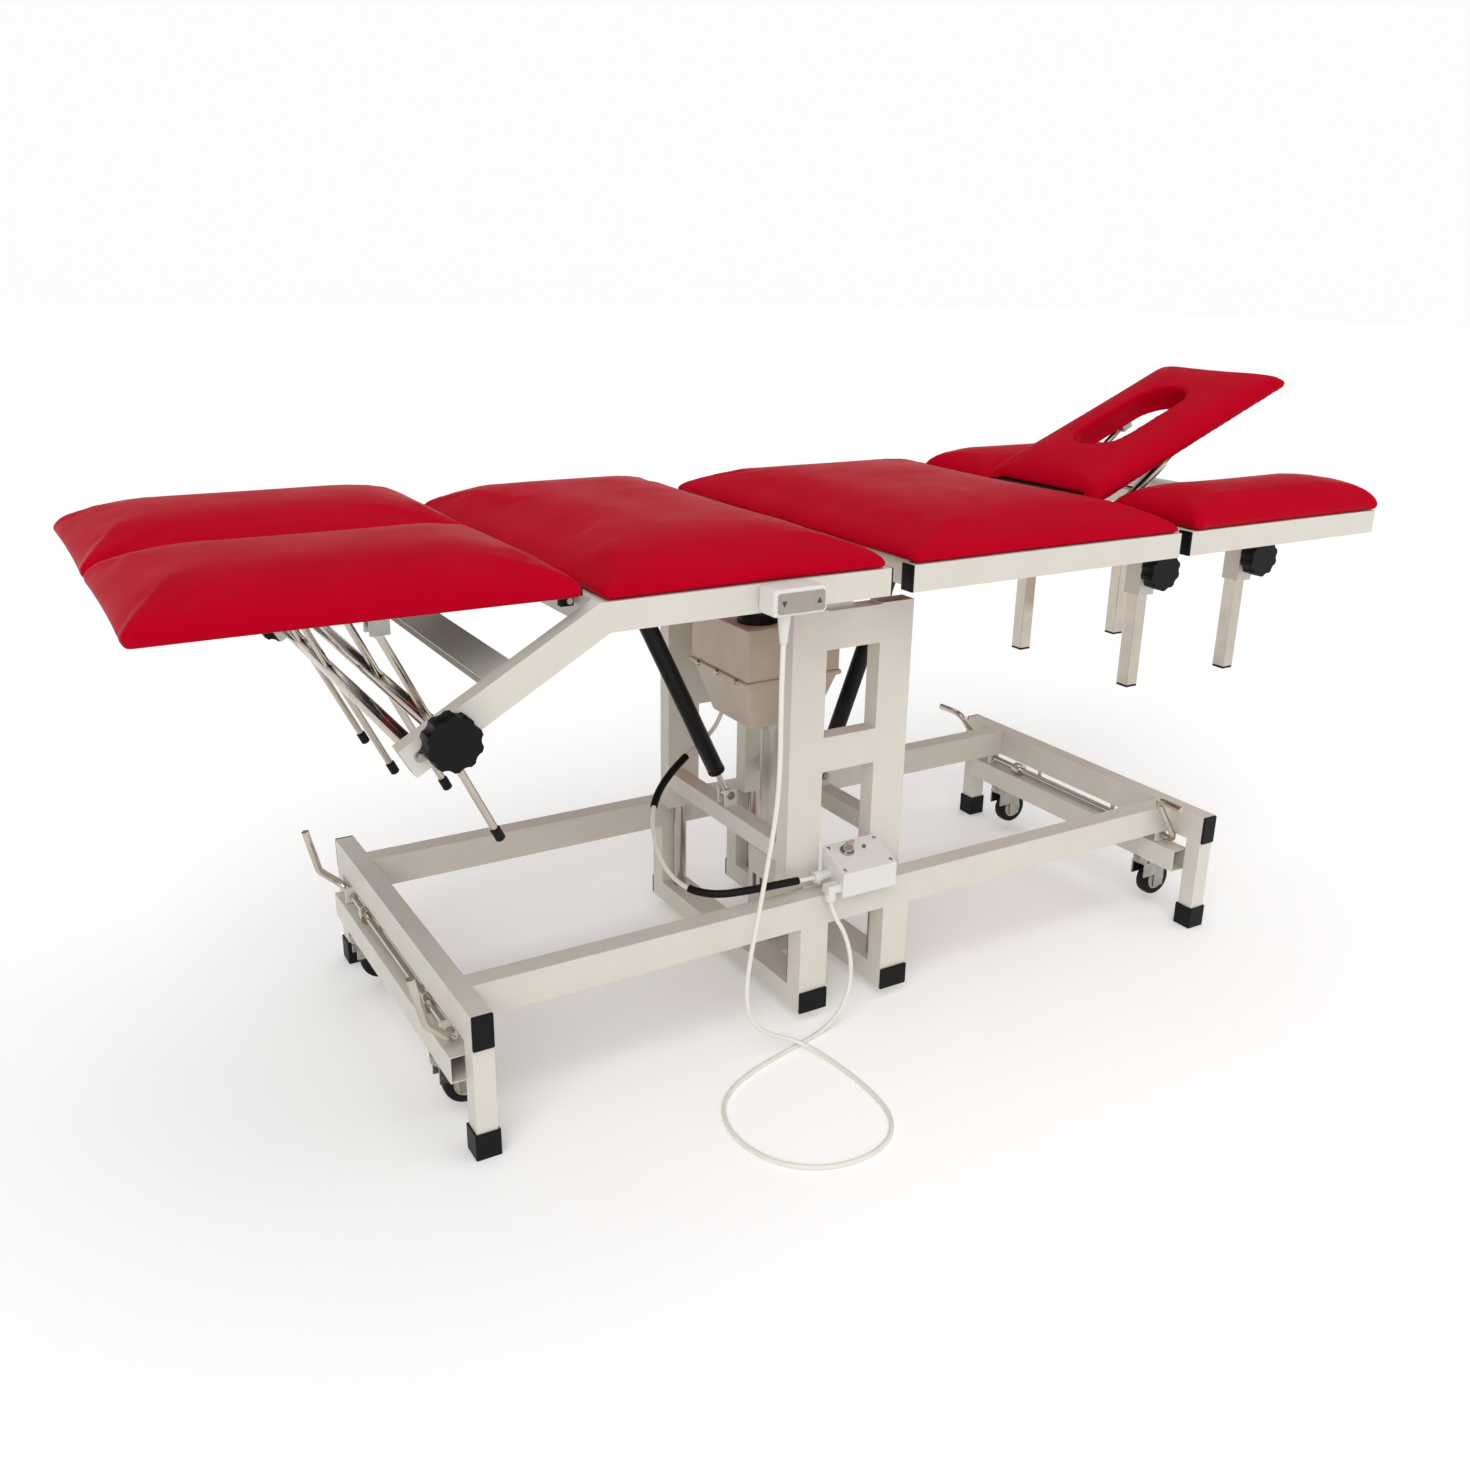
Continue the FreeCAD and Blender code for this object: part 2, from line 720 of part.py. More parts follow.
def on_slant(along):
    """Where a point on the slanted arm's centre line lies, in X and Z."""
    x = f"(seat_left - {along} * cos(slant_angle) + slant_height / 2 * sin(slant_angle))"
    z = f"({RAIL_TOP} - {along} * sin(slant_angle) - slant_height / 2 * cos(slant_angle))"
    return (x, z)


TUBES = {"near": on_slant("near_tube_along"), "far": on_slant("far_tube_along")}


def seat_frame():
    pieces = side_rails("seat")
    pieces.append(cross_member("seat_right_cross", ("seat_right - cross_setback - cross_width",
                                                    "seat_right - cross_setback")))
    pieces.append(cross_member("seat_spring_cross", about("seat_spring_top_x", "cross_width / 2")))
    pieces.append(cross_member("seat_left_cross", ("seat_left", "seat_left + cross_width")))
    pieces += hinge_ears("seat", ("seat_right - cross_setback", "seat_hinge_x + hinge_lug_margin"))
    pieces += spring_top_lugs("seat")
    for name, sign in SIDES:
        arm_y = side(sign, RAIL_INNER, "top_rail_outer")
        arm = slanted(f"{name}_arm_tube", ("-slant_length", "slant_start"), arm_y, ("-slant_height", "0"))
        above = box(f"{name}_arm_trim", ("seat_left", "seat_left + slant_start * 2"), arm_y,
                    ("top_rail_low", f"{RAIL_TOP} + slant_start"))
        holes = [cylinder(f"{name}_{half}_stub_hole", "y", "strut_stub_radius + running_clear",
                          about(arm_y[0], "top_rail_width * 2"), centre) for half, centre in TUBES.items()]
        pieces.append(cut(f"{name}_slant_arm", arm, above, *holes))
        for number, y in enumerate(("leg_hinge_inner", "leg_hinge_outer")):
            lug_y = side(sign, f"{y} - leg_lug_thick", y)
            pin_y = side(sign, y, f"{y} + hinge_gap + hinge_ear_thick")
            pieces.append(box(f"{name}_leg_lug_{number}", ("leg_hinge_x - leg_lug_half", "seat_left"), lug_y,
                              about("leg_hinge_z", "leg_lug_rise")))
            pieces.append(cylinder(f"{name}_leg_pin_{number}", "y", "leg_pin_radius", pin_y,
                                   ("leg_hinge_x", "leg_hinge_z")))
    pieces.append(slanted("slant_tie", about("-slant_tie_along", "slant_tie_width / 2"),
                          about("0", RAIL_INNER),
                          about("-slant_height / 2", "slant_tie_height / 2")))
    lever_y = ("seat_lever_y - lever_width / 2 - hinge_gap - lever_lug_thick",
               "seat_lever_y - lever_width / 2 - hinge_gap")
    pieces.append(box("seat_lever_lug", about("seat_spring_top_x", "lever_lug_half"), lever_y,
                      ("top_rail_low - lever_drop - lever_lug_half", "top_rail_low")))
    pieces.append(cylinder("seat_lever_pin", "y", "lever_pin_radius",
                           (lever_y[1], "seat_lever_y + lever_width / 2"),
                           ("seat_spring_top_x", "top_rail_low - lever_drop")))
    node("seat_frame", pieces)


def back_frame():
    pieces = side_rails("back")
    left = "back_left + cross_setback"
    right_x = ("back_right - cross_width", "back_right")
    pieces.append(cross_member("back_left_cross", (left, f"{left} + cross_width")))
    pieces.append(cross_member("back_spring_cross", about("back_spring_top_x", "cross_width / 2")))
    pieces.append(cross_member("back_right_cross", right_x))
    pieces += hinge_ears("back", ("back_hinge_x - hinge_lug_margin", left))
    pieces += spring_top_lugs("back")
    head_z = about("head_hinge_z", "head_lug_half")
    for name, sign in SIDES:
        pieces.append(tube(f"{name}_carrier", ("back_right", "carrier_right"),
                           side(sign, "carrier_inner", "carrier_inner + carrier_width"), RAIL_Z, "x"))
        lug_y = side(sign, "head_lug_y - head_lug_thick", "head_lug_y")
        pieces.append(box(f"{name}_head_lug", ("back_right", "head_hinge_x + head_lug_half"), lug_y, head_z))
        pieces.append(cylinder(f"{name}_head_pin", "y", "head_pin_radius",
                               side(sign, "head_lug_y", "head_lug_y + hinge_gap + head_ear_thick"),
                               ("head_hinge_x", "head_hinge_z")))
    foot_y = about("0", "carrier_inner")
    pieces.append(tube("carrier_cross", ("carrier_right - cross_width", "carrier_right"), foot_y, RAIL_Z,
                       "y"))
    rest = "head_strut_foot_z - head_strut_eye_radius - hinge_gap"
    pieces.append(box("head_strut_cross", about("head_strut_foot_x", "cross_width / 2"), foot_y,
                      ("top_rail_low", rest)))
    for name, sign in SIDES:
        inner = "head_strut_y - head_strut_eye_width / 2 - hinge_gap"
        pieces.append(box(f"{name}_head_strut_lug", about("head_strut_foot_x", "head_strut_eye_radius"),
                          side(sign, f"{inner} - spring_lug_thick", inner),
                          (rest, "head_strut_foot_z + head_strut_eye_radius")))
        pieces.append(cylinder(f"{name}_head_strut_pin", "y", "head_strut_pin_radius",
                               side(sign, inner, "carrier_inner"),
                               ("head_strut_foot_x", "head_strut_foot_z")))
    lever_y = ("back_lever_y + lever_width / 2 + hinge_gap",
               "back_lever_y + lever_width / 2 + hinge_gap + lever_lug_thick")
    left_mid = f"{left} + cross_width / 2"
    pieces.append(box("back_lever_lug", about(left_mid, "lever_lug_half"), lever_y,
                      ("top_rail_low - lever_drop - lever_lug_half", "top_rail_low")))
    pieces.append(cylinder("back_lever_pin", "y", "lever_pin_radius",
                           ("back_lever_y - lever_width / 2", lever_y[0]),
                           (left_mid, "top_rail_low - lever_drop")))
    node("back_frame", pieces)


# Cushions: an outline with tight corners rises from a low wall into a broad dome. Each pair gives a height
# as a share of the thickness, and the inset there as a share of the shorter side.
DOME_SHARES = ((0.0, 0.0), (0.24, 0.0), (0.42, 0.018), (0.58, 0.05), (0.72, 0.1), (0.84, 0.165),
               (0.93, 0.235), (1.0, 0.32))
CORNER_SHARE = 0.35


def outline(low, high, inset, height):
    """A rounded rectangle whose four sides bow inwards, made of eight arcs."""
    x_low, x_high = low[0] + inset, high[0] - inset
    y_low, y_high = low[1] + inset, high[1] - inset
    corner = size("cushion_corner") + CORNER_SHARE * inset
    bow = size("cushion_draw_in")
    slant = corner * (1 - math.sqrt(0.5))
    turns = []
    corners = ((x_high, y_low, 1, -1), (x_high, y_high, 1, 1), (x_low, y_high, -1, 1), (x_low, y_low, -1, -1))
    for x, y, out_x, out_y in corners:
        on_y_side = Vector(x, y - out_y * corner, height)
        on_x_side = Vector(x - out_x * corner, y, height)
        middle = Vector(x - out_x * slant, y - out_y * slant, height)
        ends = (on_x_side, on_y_side) if out_x * out_y < 0 else (on_y_side, on_x_side)
        turns.append((ends[0], middle, ends[1]))
    centre = Vector((x_low + x_high) / 2, (y_low + y_high) / 2, height)
    edges = []
    for number, (start, middle, end) in enumerate(turns):
        edges.append(Part.Arc(start, middle, end).toShape())
        following = turns[(number + 1) % 4][0]
        halfway = (end + following) / 2
        inwards = Vector(centre.x - halfway.x, 0, 0) if abs(end.x - following.x) < abs(end.y - following.y) \
            else Vector(0, centre.y - halfway.y, 0)
        edges.append(Part.Arc(end, halfway + inwards.normalize() * bow, following).toShape())
    return Part.Wire(edges)


def crowned(low, high, base, thick):
    """The cushion's solid: sections from its underside to its crown."""
    shorter = min(high[0] - low[0], high[1] - low[1])
    sections = [outline(low, high, inset * shorter, base + rise * thick) for rise, inset in DOME_SHARES]
    return Part.makeLoft(sections, True, True)


def board_room(x, y, base):
    """The pocket in a cushion's underside that its board sits in."""
    low = Vector(x[0], y[0], base - size("overrun"))
    return Part.makeBox(x[1] - x[0], y[1] - y[0], size("board_thick") + size("overrun"), low)


def cushions():
    top = size("hinge_height") - size("top_rail_drop") + size("top_rail_height")
    half = size("cushion_half")
    thick = size("cushion_thick")
    rise = size("leg_board_rise")
    margin = size("board_inset") - size("board_clear")
    for section in ("seat", "back"):
        low = (size(f"{section}_cushion_left"), -half)
        high = (size(f"{section}_cushion_right"), half)
        node(f"{section}_cushion", [feature(f"{section}_pad", crowned(low, high, top, thick))])
    for name, sign in SIDES:
        ends = sorted((sign * size("arm_cushion_inner"), sign * half))
        pad = crowned((size("arm_cushion_left"), ends[0]), (size("arm_cushion_right"), ends[1]), top, thick)
        node(f"arm_cushion_{name}", [feature(f"arm_pad_{name}", pad)])
        ends = sorted((sign * size("leg_split"), sign * half))
        pad = crowned((size("leg_left"), ends[0]), (size("leg_right"), ends[1]), top + rise,
                      thick + size("board_thick") - rise)
        room = board_room((size("leg_left") + margin, size("leg_right") + size("overrun")),
                          (ends[0] + margin, ends[1] - margin), top + rise)
        node(f"leg_cushion_{name}", [feature(f"leg_pad_{name}", pad.cut(room))])


HEAD_PLACE = (("head_hinge_x", "0", "head_hinge_z"), Y_AXIS, "-head_angle")


def face_slot(room):
    """The face opening with its round ends, as a prism through the head section."""
    radius = size("face_hole_wide") + room
    reach = size("face_hole_long") - size("face_hole_wide")
    low = -size("cushion_thick")
    left = size("face_hole_x") - reach
    right = size("face_hole_x") + reach
    near_left, near_right = Vector(left, -radius, low), Vector(right, -radius, low)
    far_left, far_right = Vector(left, radius, low), Vector(right, radius, low)
    edges = [Part.makeLine(near_left, near_right),
             Part.Arc(near_right, Vector(right + radius, 0, low), far_right).toShape(),
             Part.makeLine(far_right, far_left),
             Part.Arc(far_left, Vector(left - radius, 0, low), near_left).toShape()]
    return Part.Face(Part.Wire(edges)).extrude(Vector(0, 0, 4 * size("cushion_thick")))


def head_section():
    base = size("head_board_low")
    half = size("head_half")
    margin = size("board_inset") - size("board_clear")
    left = size("head_left")
    right = left + size("head_length")
    form = crowned((left, -half), (right, half), base, size("head_thick"))
    room = board_room((left - size("overrun"), right - margin), (margin - half, half - margin), base)
    pad = feature("head_pad", form.cut(face_slot(0)).cut(room))
    node("head_cushion", [pad], *HEAD_PLACE)
    board = box("head_board_blank", ("head_left", "head_left + head_length - board_inset"),
                about("0", "head_half - board_inset"), ("head_board_low", "head_board_low + board_thick"))
    opening = feature("head_board_opening", face_slot(size("face_hole_board_room")))
    pieces = [cut("holed_board", board, opening)]
    for name, sign in SIDES:
        ear_y = side(sign, "head_lug_y + hinge_gap", "head_lug_y + hinge_gap + head_ear_thick")
        plate = box(f"{name}_head_ear_plate", ("-head_ear_back", "head_ear_front"), ear_y,
                    ("-head_ear_low", "head_board_low"))
        hole = cylinder(f"{name}_head_ear_hole", "y", "head_pin_radius + running_clear",
                        about(ear_y[0], "overrun * 4"), ("0", "0"))
        pieces.append(cut(f"{name}_head_ear", plate, hole))
        middle = "head_strut_y" if sign > 0 else "-head_strut_y"
        for number, hand in enumerate((-1, 1)):
            gap = "head_strut_eye_width / 2 + strut_lug_gap"
            lug_low, lug_high = side(hand, gap, f"{gap} + strut_lug_thick")
            pieces.append(box(f"{name}_prop_lug_{number}", about("head_strut_along", "strut_lug_half"),
                              (f"{middle} + {lug_low}", f"{middle} + {lug_high}"),
                              ("head_board_low - strut_lug_drop", "head_board_low")))
    node("head_board", pieces, *HEAD_PLACE)


# The head's prop: a tube on the carrier with a rod that slides out of it
def head_strut():
    top_x = "(head_hinge_x + head_strut_along * cos(head_angle) + head_strut_under * sin(head_angle))"
    top_z = "(head_hinge_z + head_strut_along * sin(head_angle) - head_strut_under * cos(head_angle))"
    run_x = f"({top_x} - head_strut_foot_x)"
    run_z = f"({top_z} - head_strut_foot_z)"
    length = f"sqrt({run_x} * {run_x} + {run_z} * {run_z})"
    foot = (("head_strut_foot_x", "0", "head_strut_foot_z"), Y_AXIS, f"atan2({run_x}; {run_z})")
    tubes = []
    rods = []
    for name, sign in SIDES:
        y = "head_strut_y" if sign > 0 else "-head_strut_y"
        eye_y = about(y, "head_strut_eye_width / 2")
        body = cylinder(f"{name}_prop_body", "z", "head_strut_radius",
                        ("head_strut_tube_start", "head_strut_tube_end"), ("0", y))
        ring = cylinder(f"{name}_prop_eye", "y", "head_strut_eye_radius", eye_y, ("0", "0"))
        neck = box(f"{name}_prop_neck", about("0", "head_strut_eye_radius / 2"), eye_y,
                   ("0", "head_strut_tube_start"))
        pin_hole = cylinder(f"{name}_prop_pin_hole", "y", "head_strut_pin_radius + running_clear",
                            about(y, "head_strut_eye_width"), ("0", "0"))
        bore = cylinder(f"{name}_prop_bore", "z", "head_strut_rod_radius + running_clear",
                        ("head_strut_tube_start + overrun", "head_strut_tube_end + overrun"), ("0", y))
        tubes.append(cut(f"{name}_prop_tube", fuse(f"{name}_prop_blank", body, ring, neck), pin_hole, bore))
        rod = cylinder(f"{name}_prop_rod", "z", "head_strut_rod_radius", ("head_strut_rod_start", length),
                       ("0", y))
        head = cylinder(f"{name}_prop_head", "y", "head_strut_eye_radius", eye_y, ("0", length))
        rods.append(fuse(f"{name}_prop_rod_and_head", rod, head))
    tie_y = about("0", "head_strut_y - head_strut_radius + tube_wall")
    bar = cylinder("prop_tie_bar", "y", "head_strut_rod_radius", tie_y, ("0", "head_strut_tie"))
    tubes.append(cut("prop_tie", bar, *[cylinder(f"prop_tie_end_{number}", "z", "head_strut_radius",
                                                 ("head_strut_tube_start", "head_strut_tube_end"), ("0", y))
                                        for number, y in enumerate(("head_strut_y", "-head_strut_y"))]))
    node("head_strut_tube", tubes, *foot)
    node("head_strut_rod", rods, *foot)


# Armrests on square posts
SLEEVE_OUT = "carrier_inner + carrier_width + post_size + sleeve_clear + sleeve_wall"


def armrest_posts():
    posts = []
    for name, sign in SIDES:
        near_face = "carrier_inner + carrier_width"
        for number in ("first", "second"):
            posts.append(tube(f"{name}_{number}_post", about(f"post_{number}_x", "post_size / 2"),
                              side(sign, near_face, f"{near_face} + post_size"), ("post_low", RAIL_TOP), "z"))
    node("armrest_posts", posts)


def armrest_frame(name, sign):
    pieces = []
    sleeve_y = "carrier_inner + carrier_width - sleeve_clear - sleeve_wall"
    inner = f"{SLEEVE_OUT} + drop_plate_thick"
    arm_x = ("arm_left", "arm_right")
    pieces.append(tube(f"{name}_arm_outer", arm_x, side(sign, RAIL_INNER, "top_rail_outer"), RAIL_Z, "x"))
    pieces.append(tube(f"{name}_arm_inner", arm_x, side(sign, inner, f"{inner} + top_rail_width"), RAIL_Z,
                       "x"))
    between = side(sign, f"{inner} + top_rail_width", RAIL_INNER)
    pieces.append(tube(f"{name}_arm_left_cross", ("arm_left", "arm_left + cross_width"), between, RAIL_Z,
                       "y"))
    pieces.append(tube(f"{name}_arm_right_cross", ("arm_right - cross_width", "arm_right"), between, RAIL_Z,
                       "y"))
    for number in ("first", "second"):
        centre = f"post_{number}_x"
        half = "post_size / 2 + sleeve_clear + sleeve_wall"
        pieces.append(tube(f"{name}_{number}_sleeve", about(centre, half), side(sign, sleeve_y, SLEEVE_OUT),
                           ("sleeve_low", "sleeve_high"), "z", "sleeve_wall"))
        pieces.append(box(f"{name}_{number}_drop_plate", about(centre, "drop_plate_half"),
                          side(sign, SLEEVE_OUT, inner), ("sleeve_low", RAIL_TOP)))
    node(f"armrest_frame_{name}", pieces)


def knob(name, neck):
    """A scalloped clamp knob about Z, with its neck below the disc."""
    body = doc.addObject("PartDesign::Body", name)
    roles = {origin.Role: origin for origin in body.Origin.OriginFeatures}

    def circle(label, radius, centre_x):
        sketch = body.newObject("Sketcher::SketchObject", f"{name}_{label}")
        sketch.AttachmentSupport = (roles["XY_Plane"], [""])
        sketch.MapMode = "FlatFace"
        sketch.addGeometry(Part.Circle(Vector(), Vector(0, 0, 1), size("knob_radius")), False)
        round_size = sketch.addConstraint(Sketcher.Constraint("Radius", 0, size("knob_radius")))
        sketch.setExpression(f"Constraints[{round_size}]", linked(radius))
        sketch.addConstraint(Sketcher.Constraint("PointOnObject", 0, 3, -1))
        if centre_x is None:
            sketch.addConstraint(Sketcher.Constraint("PointOnObject", 0, 3, -2))
        else:
            reach = sketch.addConstraint(Sketcher.Constraint("DistanceX", -1, 1, 0, 3, size("knob_radius")))
            sketch.setExpression(f"Constraints[{reach}]", linked(centre_x))
        return sketch

    disc = body.newObject("PartDesign::Pad", f"{name}_disc")
    disc.Profile = circle("disc_round", "knob_radius", None)
    bind(disc, "Length", "knob_thick")
    hub = body.newObject("PartDesign::Pad", f"{name}_neck")
    hub.Profile = circle("neck_round", "knob_hub_radius", None)
    hub.Reversed = True
    bind(hub, "Length", neck)
    scallop = body.newObject("PartDesign::Pocket", f"{name}_scallop")
    scallop.Profile = circle("scallop_round", "knob_scallop_radius", "knob_radius + knob_scallop_out")
    scallop.Reversed = True
    bind(scallop, "Length", "knob_thick")
    pattern = body.newObject("PartDesign::PolarPattern", f"{name}_scallops")
    pattern.Originals = [scallop]
    pattern.Axis = (roles["Z_Axis"], [""])
    pattern.Angle = 360
    pattern.Occurrences = SCALLOPS
    body.Tip = pattern
    doc.recompute()
    plain = math.pi * size("knob_radius") ** 2 * size("knob_thick")
    plain += math.pi * size("knob_hub_radius") ** 2 * size(neck)
    print(f"{name}: scallops take {plain - body.Shape.Volume:.0f} cubic mm off the disc and neck")
    return body


def clamp_knobs():
    arm_knob = knob("arm_knob_shape", "arm_knob_neck")
    leg_knob = knob("leg_knob_shape", "leg_knob_neck")
    arm_reach = f"{SLEEVE_OUT} + drop_plate_thick + knob_gap + arm_knob_neck"
    for name, sign in SIDES:
        y = arm_reach if sign > 0 else f"-({arm_reach})"
        for number in ("first", "second"):
            node(f"arm_knob_{name}_{number}", [arm_knob], (f"post_{number}_x", y, "arm_knob_height"),
                 Vector(1, 0, 0), f"{-90 * sign}")
        reach = "top_rail_outer + knob_gap + leg_knob_neck"
        x, z = TUBES[name]
        y = reach if sign > 0 else f"-({reach})"
        node(f"leg_knob_{name}", [leg_knob], (x, y, z), Vector(1, 0, 0), f"{-90 * sign}")


# Leg halves: a board with hinge ears and strut lugs under it
def leg_board(name, sign):
    low_z = f"{RAIL_TOP} + leg_board_rise"
    thick_z = (low_z, f"{low_z} + board_thick")
    board_y = side(sign, "leg_split + board_inset", "cushion_half - board_inset")
    pieces = [box(f"{name}_leg_board", ("leg_left + board_inset", "leg_right"), board_y, thick_z)]
    for number, y in enumerate(("leg_hinge_inner", "leg_hinge_outer")):
        ear_y = side(sign, f"{y} + hinge_gap", f"{y} + hinge_gap + hinge_ear_thick")
        upright = box(f"{name}_leg_ear_plate_{number}",
                      ("leg_hinge_x - leg_ear_back", "leg_hinge_x + leg_ear_front"),
                      ear_y, ("leg_hinge_z - leg_ear_low", low_z))
        hole = cylinder(f"{name}_leg_ear_hole_{number}", "y", "leg_pin_radius + running_clear",
                        about(ear_y[0], "overrun * 4"), ("leg_hinge_x", "leg_hinge_z"))
        pieces.append(cut(f"{name}_leg_ear_{number}", upright, hole))
    x, z = TUBES[name]
    eye_x = f"({x} - (strut_eye_height - {z}) * tan(strut_lean))"
    for place_name in ("outer", "inner"):
        centre = f"{name}_strut_{place_name}"
        centre = centre if sign > 0 else f"-{centre}"
        for number, hand in enumerate((-1, 1)):
            gap = "strut_eye_width / 2 + strut_lug_gap"
            low, high = side(hand, gap, f"{gap} + strut_lug_thick")
            pieces.append(box(f"{name}_{place_name}_strut_lug_{number}", about(eye_x, "strut_lug_half"),
                              (f"{centre} + {low}", f"{centre} + {high}"),
                              (f"{RAIL_TOP} - strut_lug_drop", low_z)))
    node(f"leg_board_{name}", pieces)


def leg_struts(name, sign):
    x, z = TUBES[name]
    lean = ((x, "0", z), Y_AXIS, "-strut_lean")
    rise = f"((strut_eye_height - {z}) / cos(strut_lean))"
    rods, bores = [], []
    for place_name in ("outer", "inner"):
        y = f"{name}_strut_{place_name}"
        y = y if sign > 0 else f"-{y}"
        rod = cylinder(f"{name}_{place_name}_rod", "z", "strut_radius", ("-strut_below", rise), ("0", y))
        eye_y = about(y, "strut_eye_width / 2")
        head = cylinder(f"{name}_{place_name}_rod_eye", "y", "strut_eye_radius", eye_y, ("0", rise))
        tip = cylinder(f"{name}_{place_name}_tip", "z", "strut_tip_radius",
                       ("-strut_below - strut_tip_length", "-strut_below"), ("0", y))
        rods += [fuse(f"{name}_{place_name}_strut", rod, head), tip]
        bores.append(cylinder(f"{name}_{place_name}_strut_bore", "z", "strut_radius + running_clear",
                              about("0", "strut_tube_radius * 2"), ("0", y)))
    node(f"leg_struts_{name}", rods, *lean)
    bar = cylinder(f"{name}_strut_bar", "y", "strut_tube_radius", about("0", f"{RAIL_INNER} - hinge_gap"),
                   ("0", "0"))
    stub = cylinder(f"{name}_strut_stub", "y", "strut_stub_radius", about("0", "top_rail_outer"), ("0", "0"))
    node(f"strut_tube_{name}", [cut(f"{name}_bored_bar", fuse(f"{name}_bar_blank", bar, stub), *bores)],
         *lean)


# Gas springs: a rod on the tower and a barrel that slides on it
def gas_spring(section, sign):
    foot_x = f"{sign} * spring_foot_x"
    run_x = f"({section}_spring_top_x - ({foot_x}))"
    run_z = "(spring_top_z - spring_foot_z)"
    length = f"sqrt({run_x} * {run_x} + {run_z} * {run_z})"
    foot = ((foot_x, "0", "spring_foot_z"), Y_AXIS, f"atan2({run_x}; {run_z})")
    barrel_end = f"{length} - spring_neck_length"
    bore_end = f"{barrel_end} - spring_bore_floor"
    rod = cylinder(f"{section}_spring_stem", "z", "spring_rod_radius", ("0", f"{bore_end} - spring_rod_room"),
                   ("0", "0"))
    ring = cylinder(f"{section}_spring_eye", "y", "spring_eye_radius", about("0", "spring_eye_width / 2"),
                    ("0", "0"))
    hole = cylinder(f"{section}_spring_eye_hole", "y", "spring_pin_radius + running_clear",
                    about("0", "spring_eye_width"), ("0", "0"))
    node(f"{section}_spring_rod",
         [cut(f"{section}_spring_rod_eye", fuse(f"{section}_rod_blank", rod, ring), hole)], *foot)
    barrel = cylinder(f"{section}_barrel_body", "z", "spring_barrel_radius",
                      ("spring_barrel_start", barrel_end), ("0", "0"))
    neck = cylinder(f"{section}_barrel_neck", "z", "spring_rod_radius", (barrel_end, length), ("0", "0"))
    head = cylinder(f"{section}_barrel_eye", "y", "spring_eye_radius", about("0", "spring_eye_width / 2"),
                    ("0", length))
    bore = cylinder(f"{section}_barrel_bore", "z", "spring_rod_radius + running_clear",
                    ("spring_barrel_start - overrun", bore_end), ("0", "0"))
    blank = fuse(f"{section}_barrel_blank", barrel, neck, head)
    node(f"{section}_spring_barrel", [cut(f"{section}_barrel", blank, bore)], *foot)


def release_levers():
    pivot_z = "top_rail_low - lever_drop"
    seat_y = about("seat_lever_y", "lever_width / 2")
    bar = box("seat_lever_bar",
              ("seat_spring_top_x - lever_lug_half", "seat_spring_top_x + seat_lever_reach"), seat_y,
              about(pivot_z, "lever_thick"))
    paddle = box("seat_paddle", ("seat_spring_top_x + seat_lever_reach - overrun",
                                 "seat_spring_top_x + seat_lever_reach + seat_paddle_length"),
                 about("seat_lever_y", "seat_paddle_width / 2"), about(pivot_z, "lever_thick"))
    hole = cylinder("seat_lever_hole", "y", "lever_pin_radius + running_clear",
                    about("seat_lever_y", "lever_width"),
                    ("seat_spring_top_x", pivot_z))
    node("seat_release_lever", [cut("seat_lever", fuse("seat_lever_blank", bar, paddle), hole)])
    mid = "back_left + cross_setback + cross_width / 2"
    bar = box("back_lever_bar", (f"{mid} - back_lever_reach", f"{mid} + lever_lug_half"),
              about("back_lever_y", "lever_width / 2"), about(pivot_z, "lever_thick"))
    hole = cylinder("back_lever_hole", "y", "lever_pin_radius + running_clear",
                    about("back_lever_y", "lever_width"),
                    (mid, pivot_z))
    node("back_release_lever", [cut("back_lever", bar, hole)])


# Bent rods and cords: straight runs joined by tangent arcs, each taking up to this share of a run
ARC_SHARE = 0.45


def bent_path(points, radius_at):
    """A wire through the runs, with an arc at each inner point, and the radii of its arcs."""
    edges = []
    radii = []
    start = points[0]
    for before, corner, after in zip(points, points[1:], points[2:]):
        into = (corner - before).normalize()
        out = (after - corner).normalize()
        half = into.getAngle(out) / 2
        radius = radius_at(min(before.distanceToPoint(corner), corner.distanceToPoint(after)), half)
        reach = radius * math.tan(half)
        inwards = (out - into).normalize()
        middle = corner + inwards * (radius / math.cos(half) - radius)
        edges.append(Part.LineSegment(start, corner - into * reach).toShape())
        edges.append(Part.Arc(corner - into * reach, middle, corner + out * reach).toShape())
        radii.append(radius)
        start = corner + out * reach
    edges.append(Part.LineSegment(start, points[-1]).toShape())
    return Part.Wire(edges), radii


def rod_along(name, wire, radius):
    first = wire.OrderedEdges[0]
    start = first.valueAt(first.FirstParameter)
    towards = first.tangentAt(first.FirstParameter)
    section = Part.Wire(Part.Circle(start, towards, radius).toShape())
    solid = wire.makePipeShell([section], True, False)
    ideal = math.pi * radius ** 2 * wire.Length
    print(f"{name}: volume {solid.Volume:.0f}, section times length {ideal:.0f} cubic mm")
    return solid


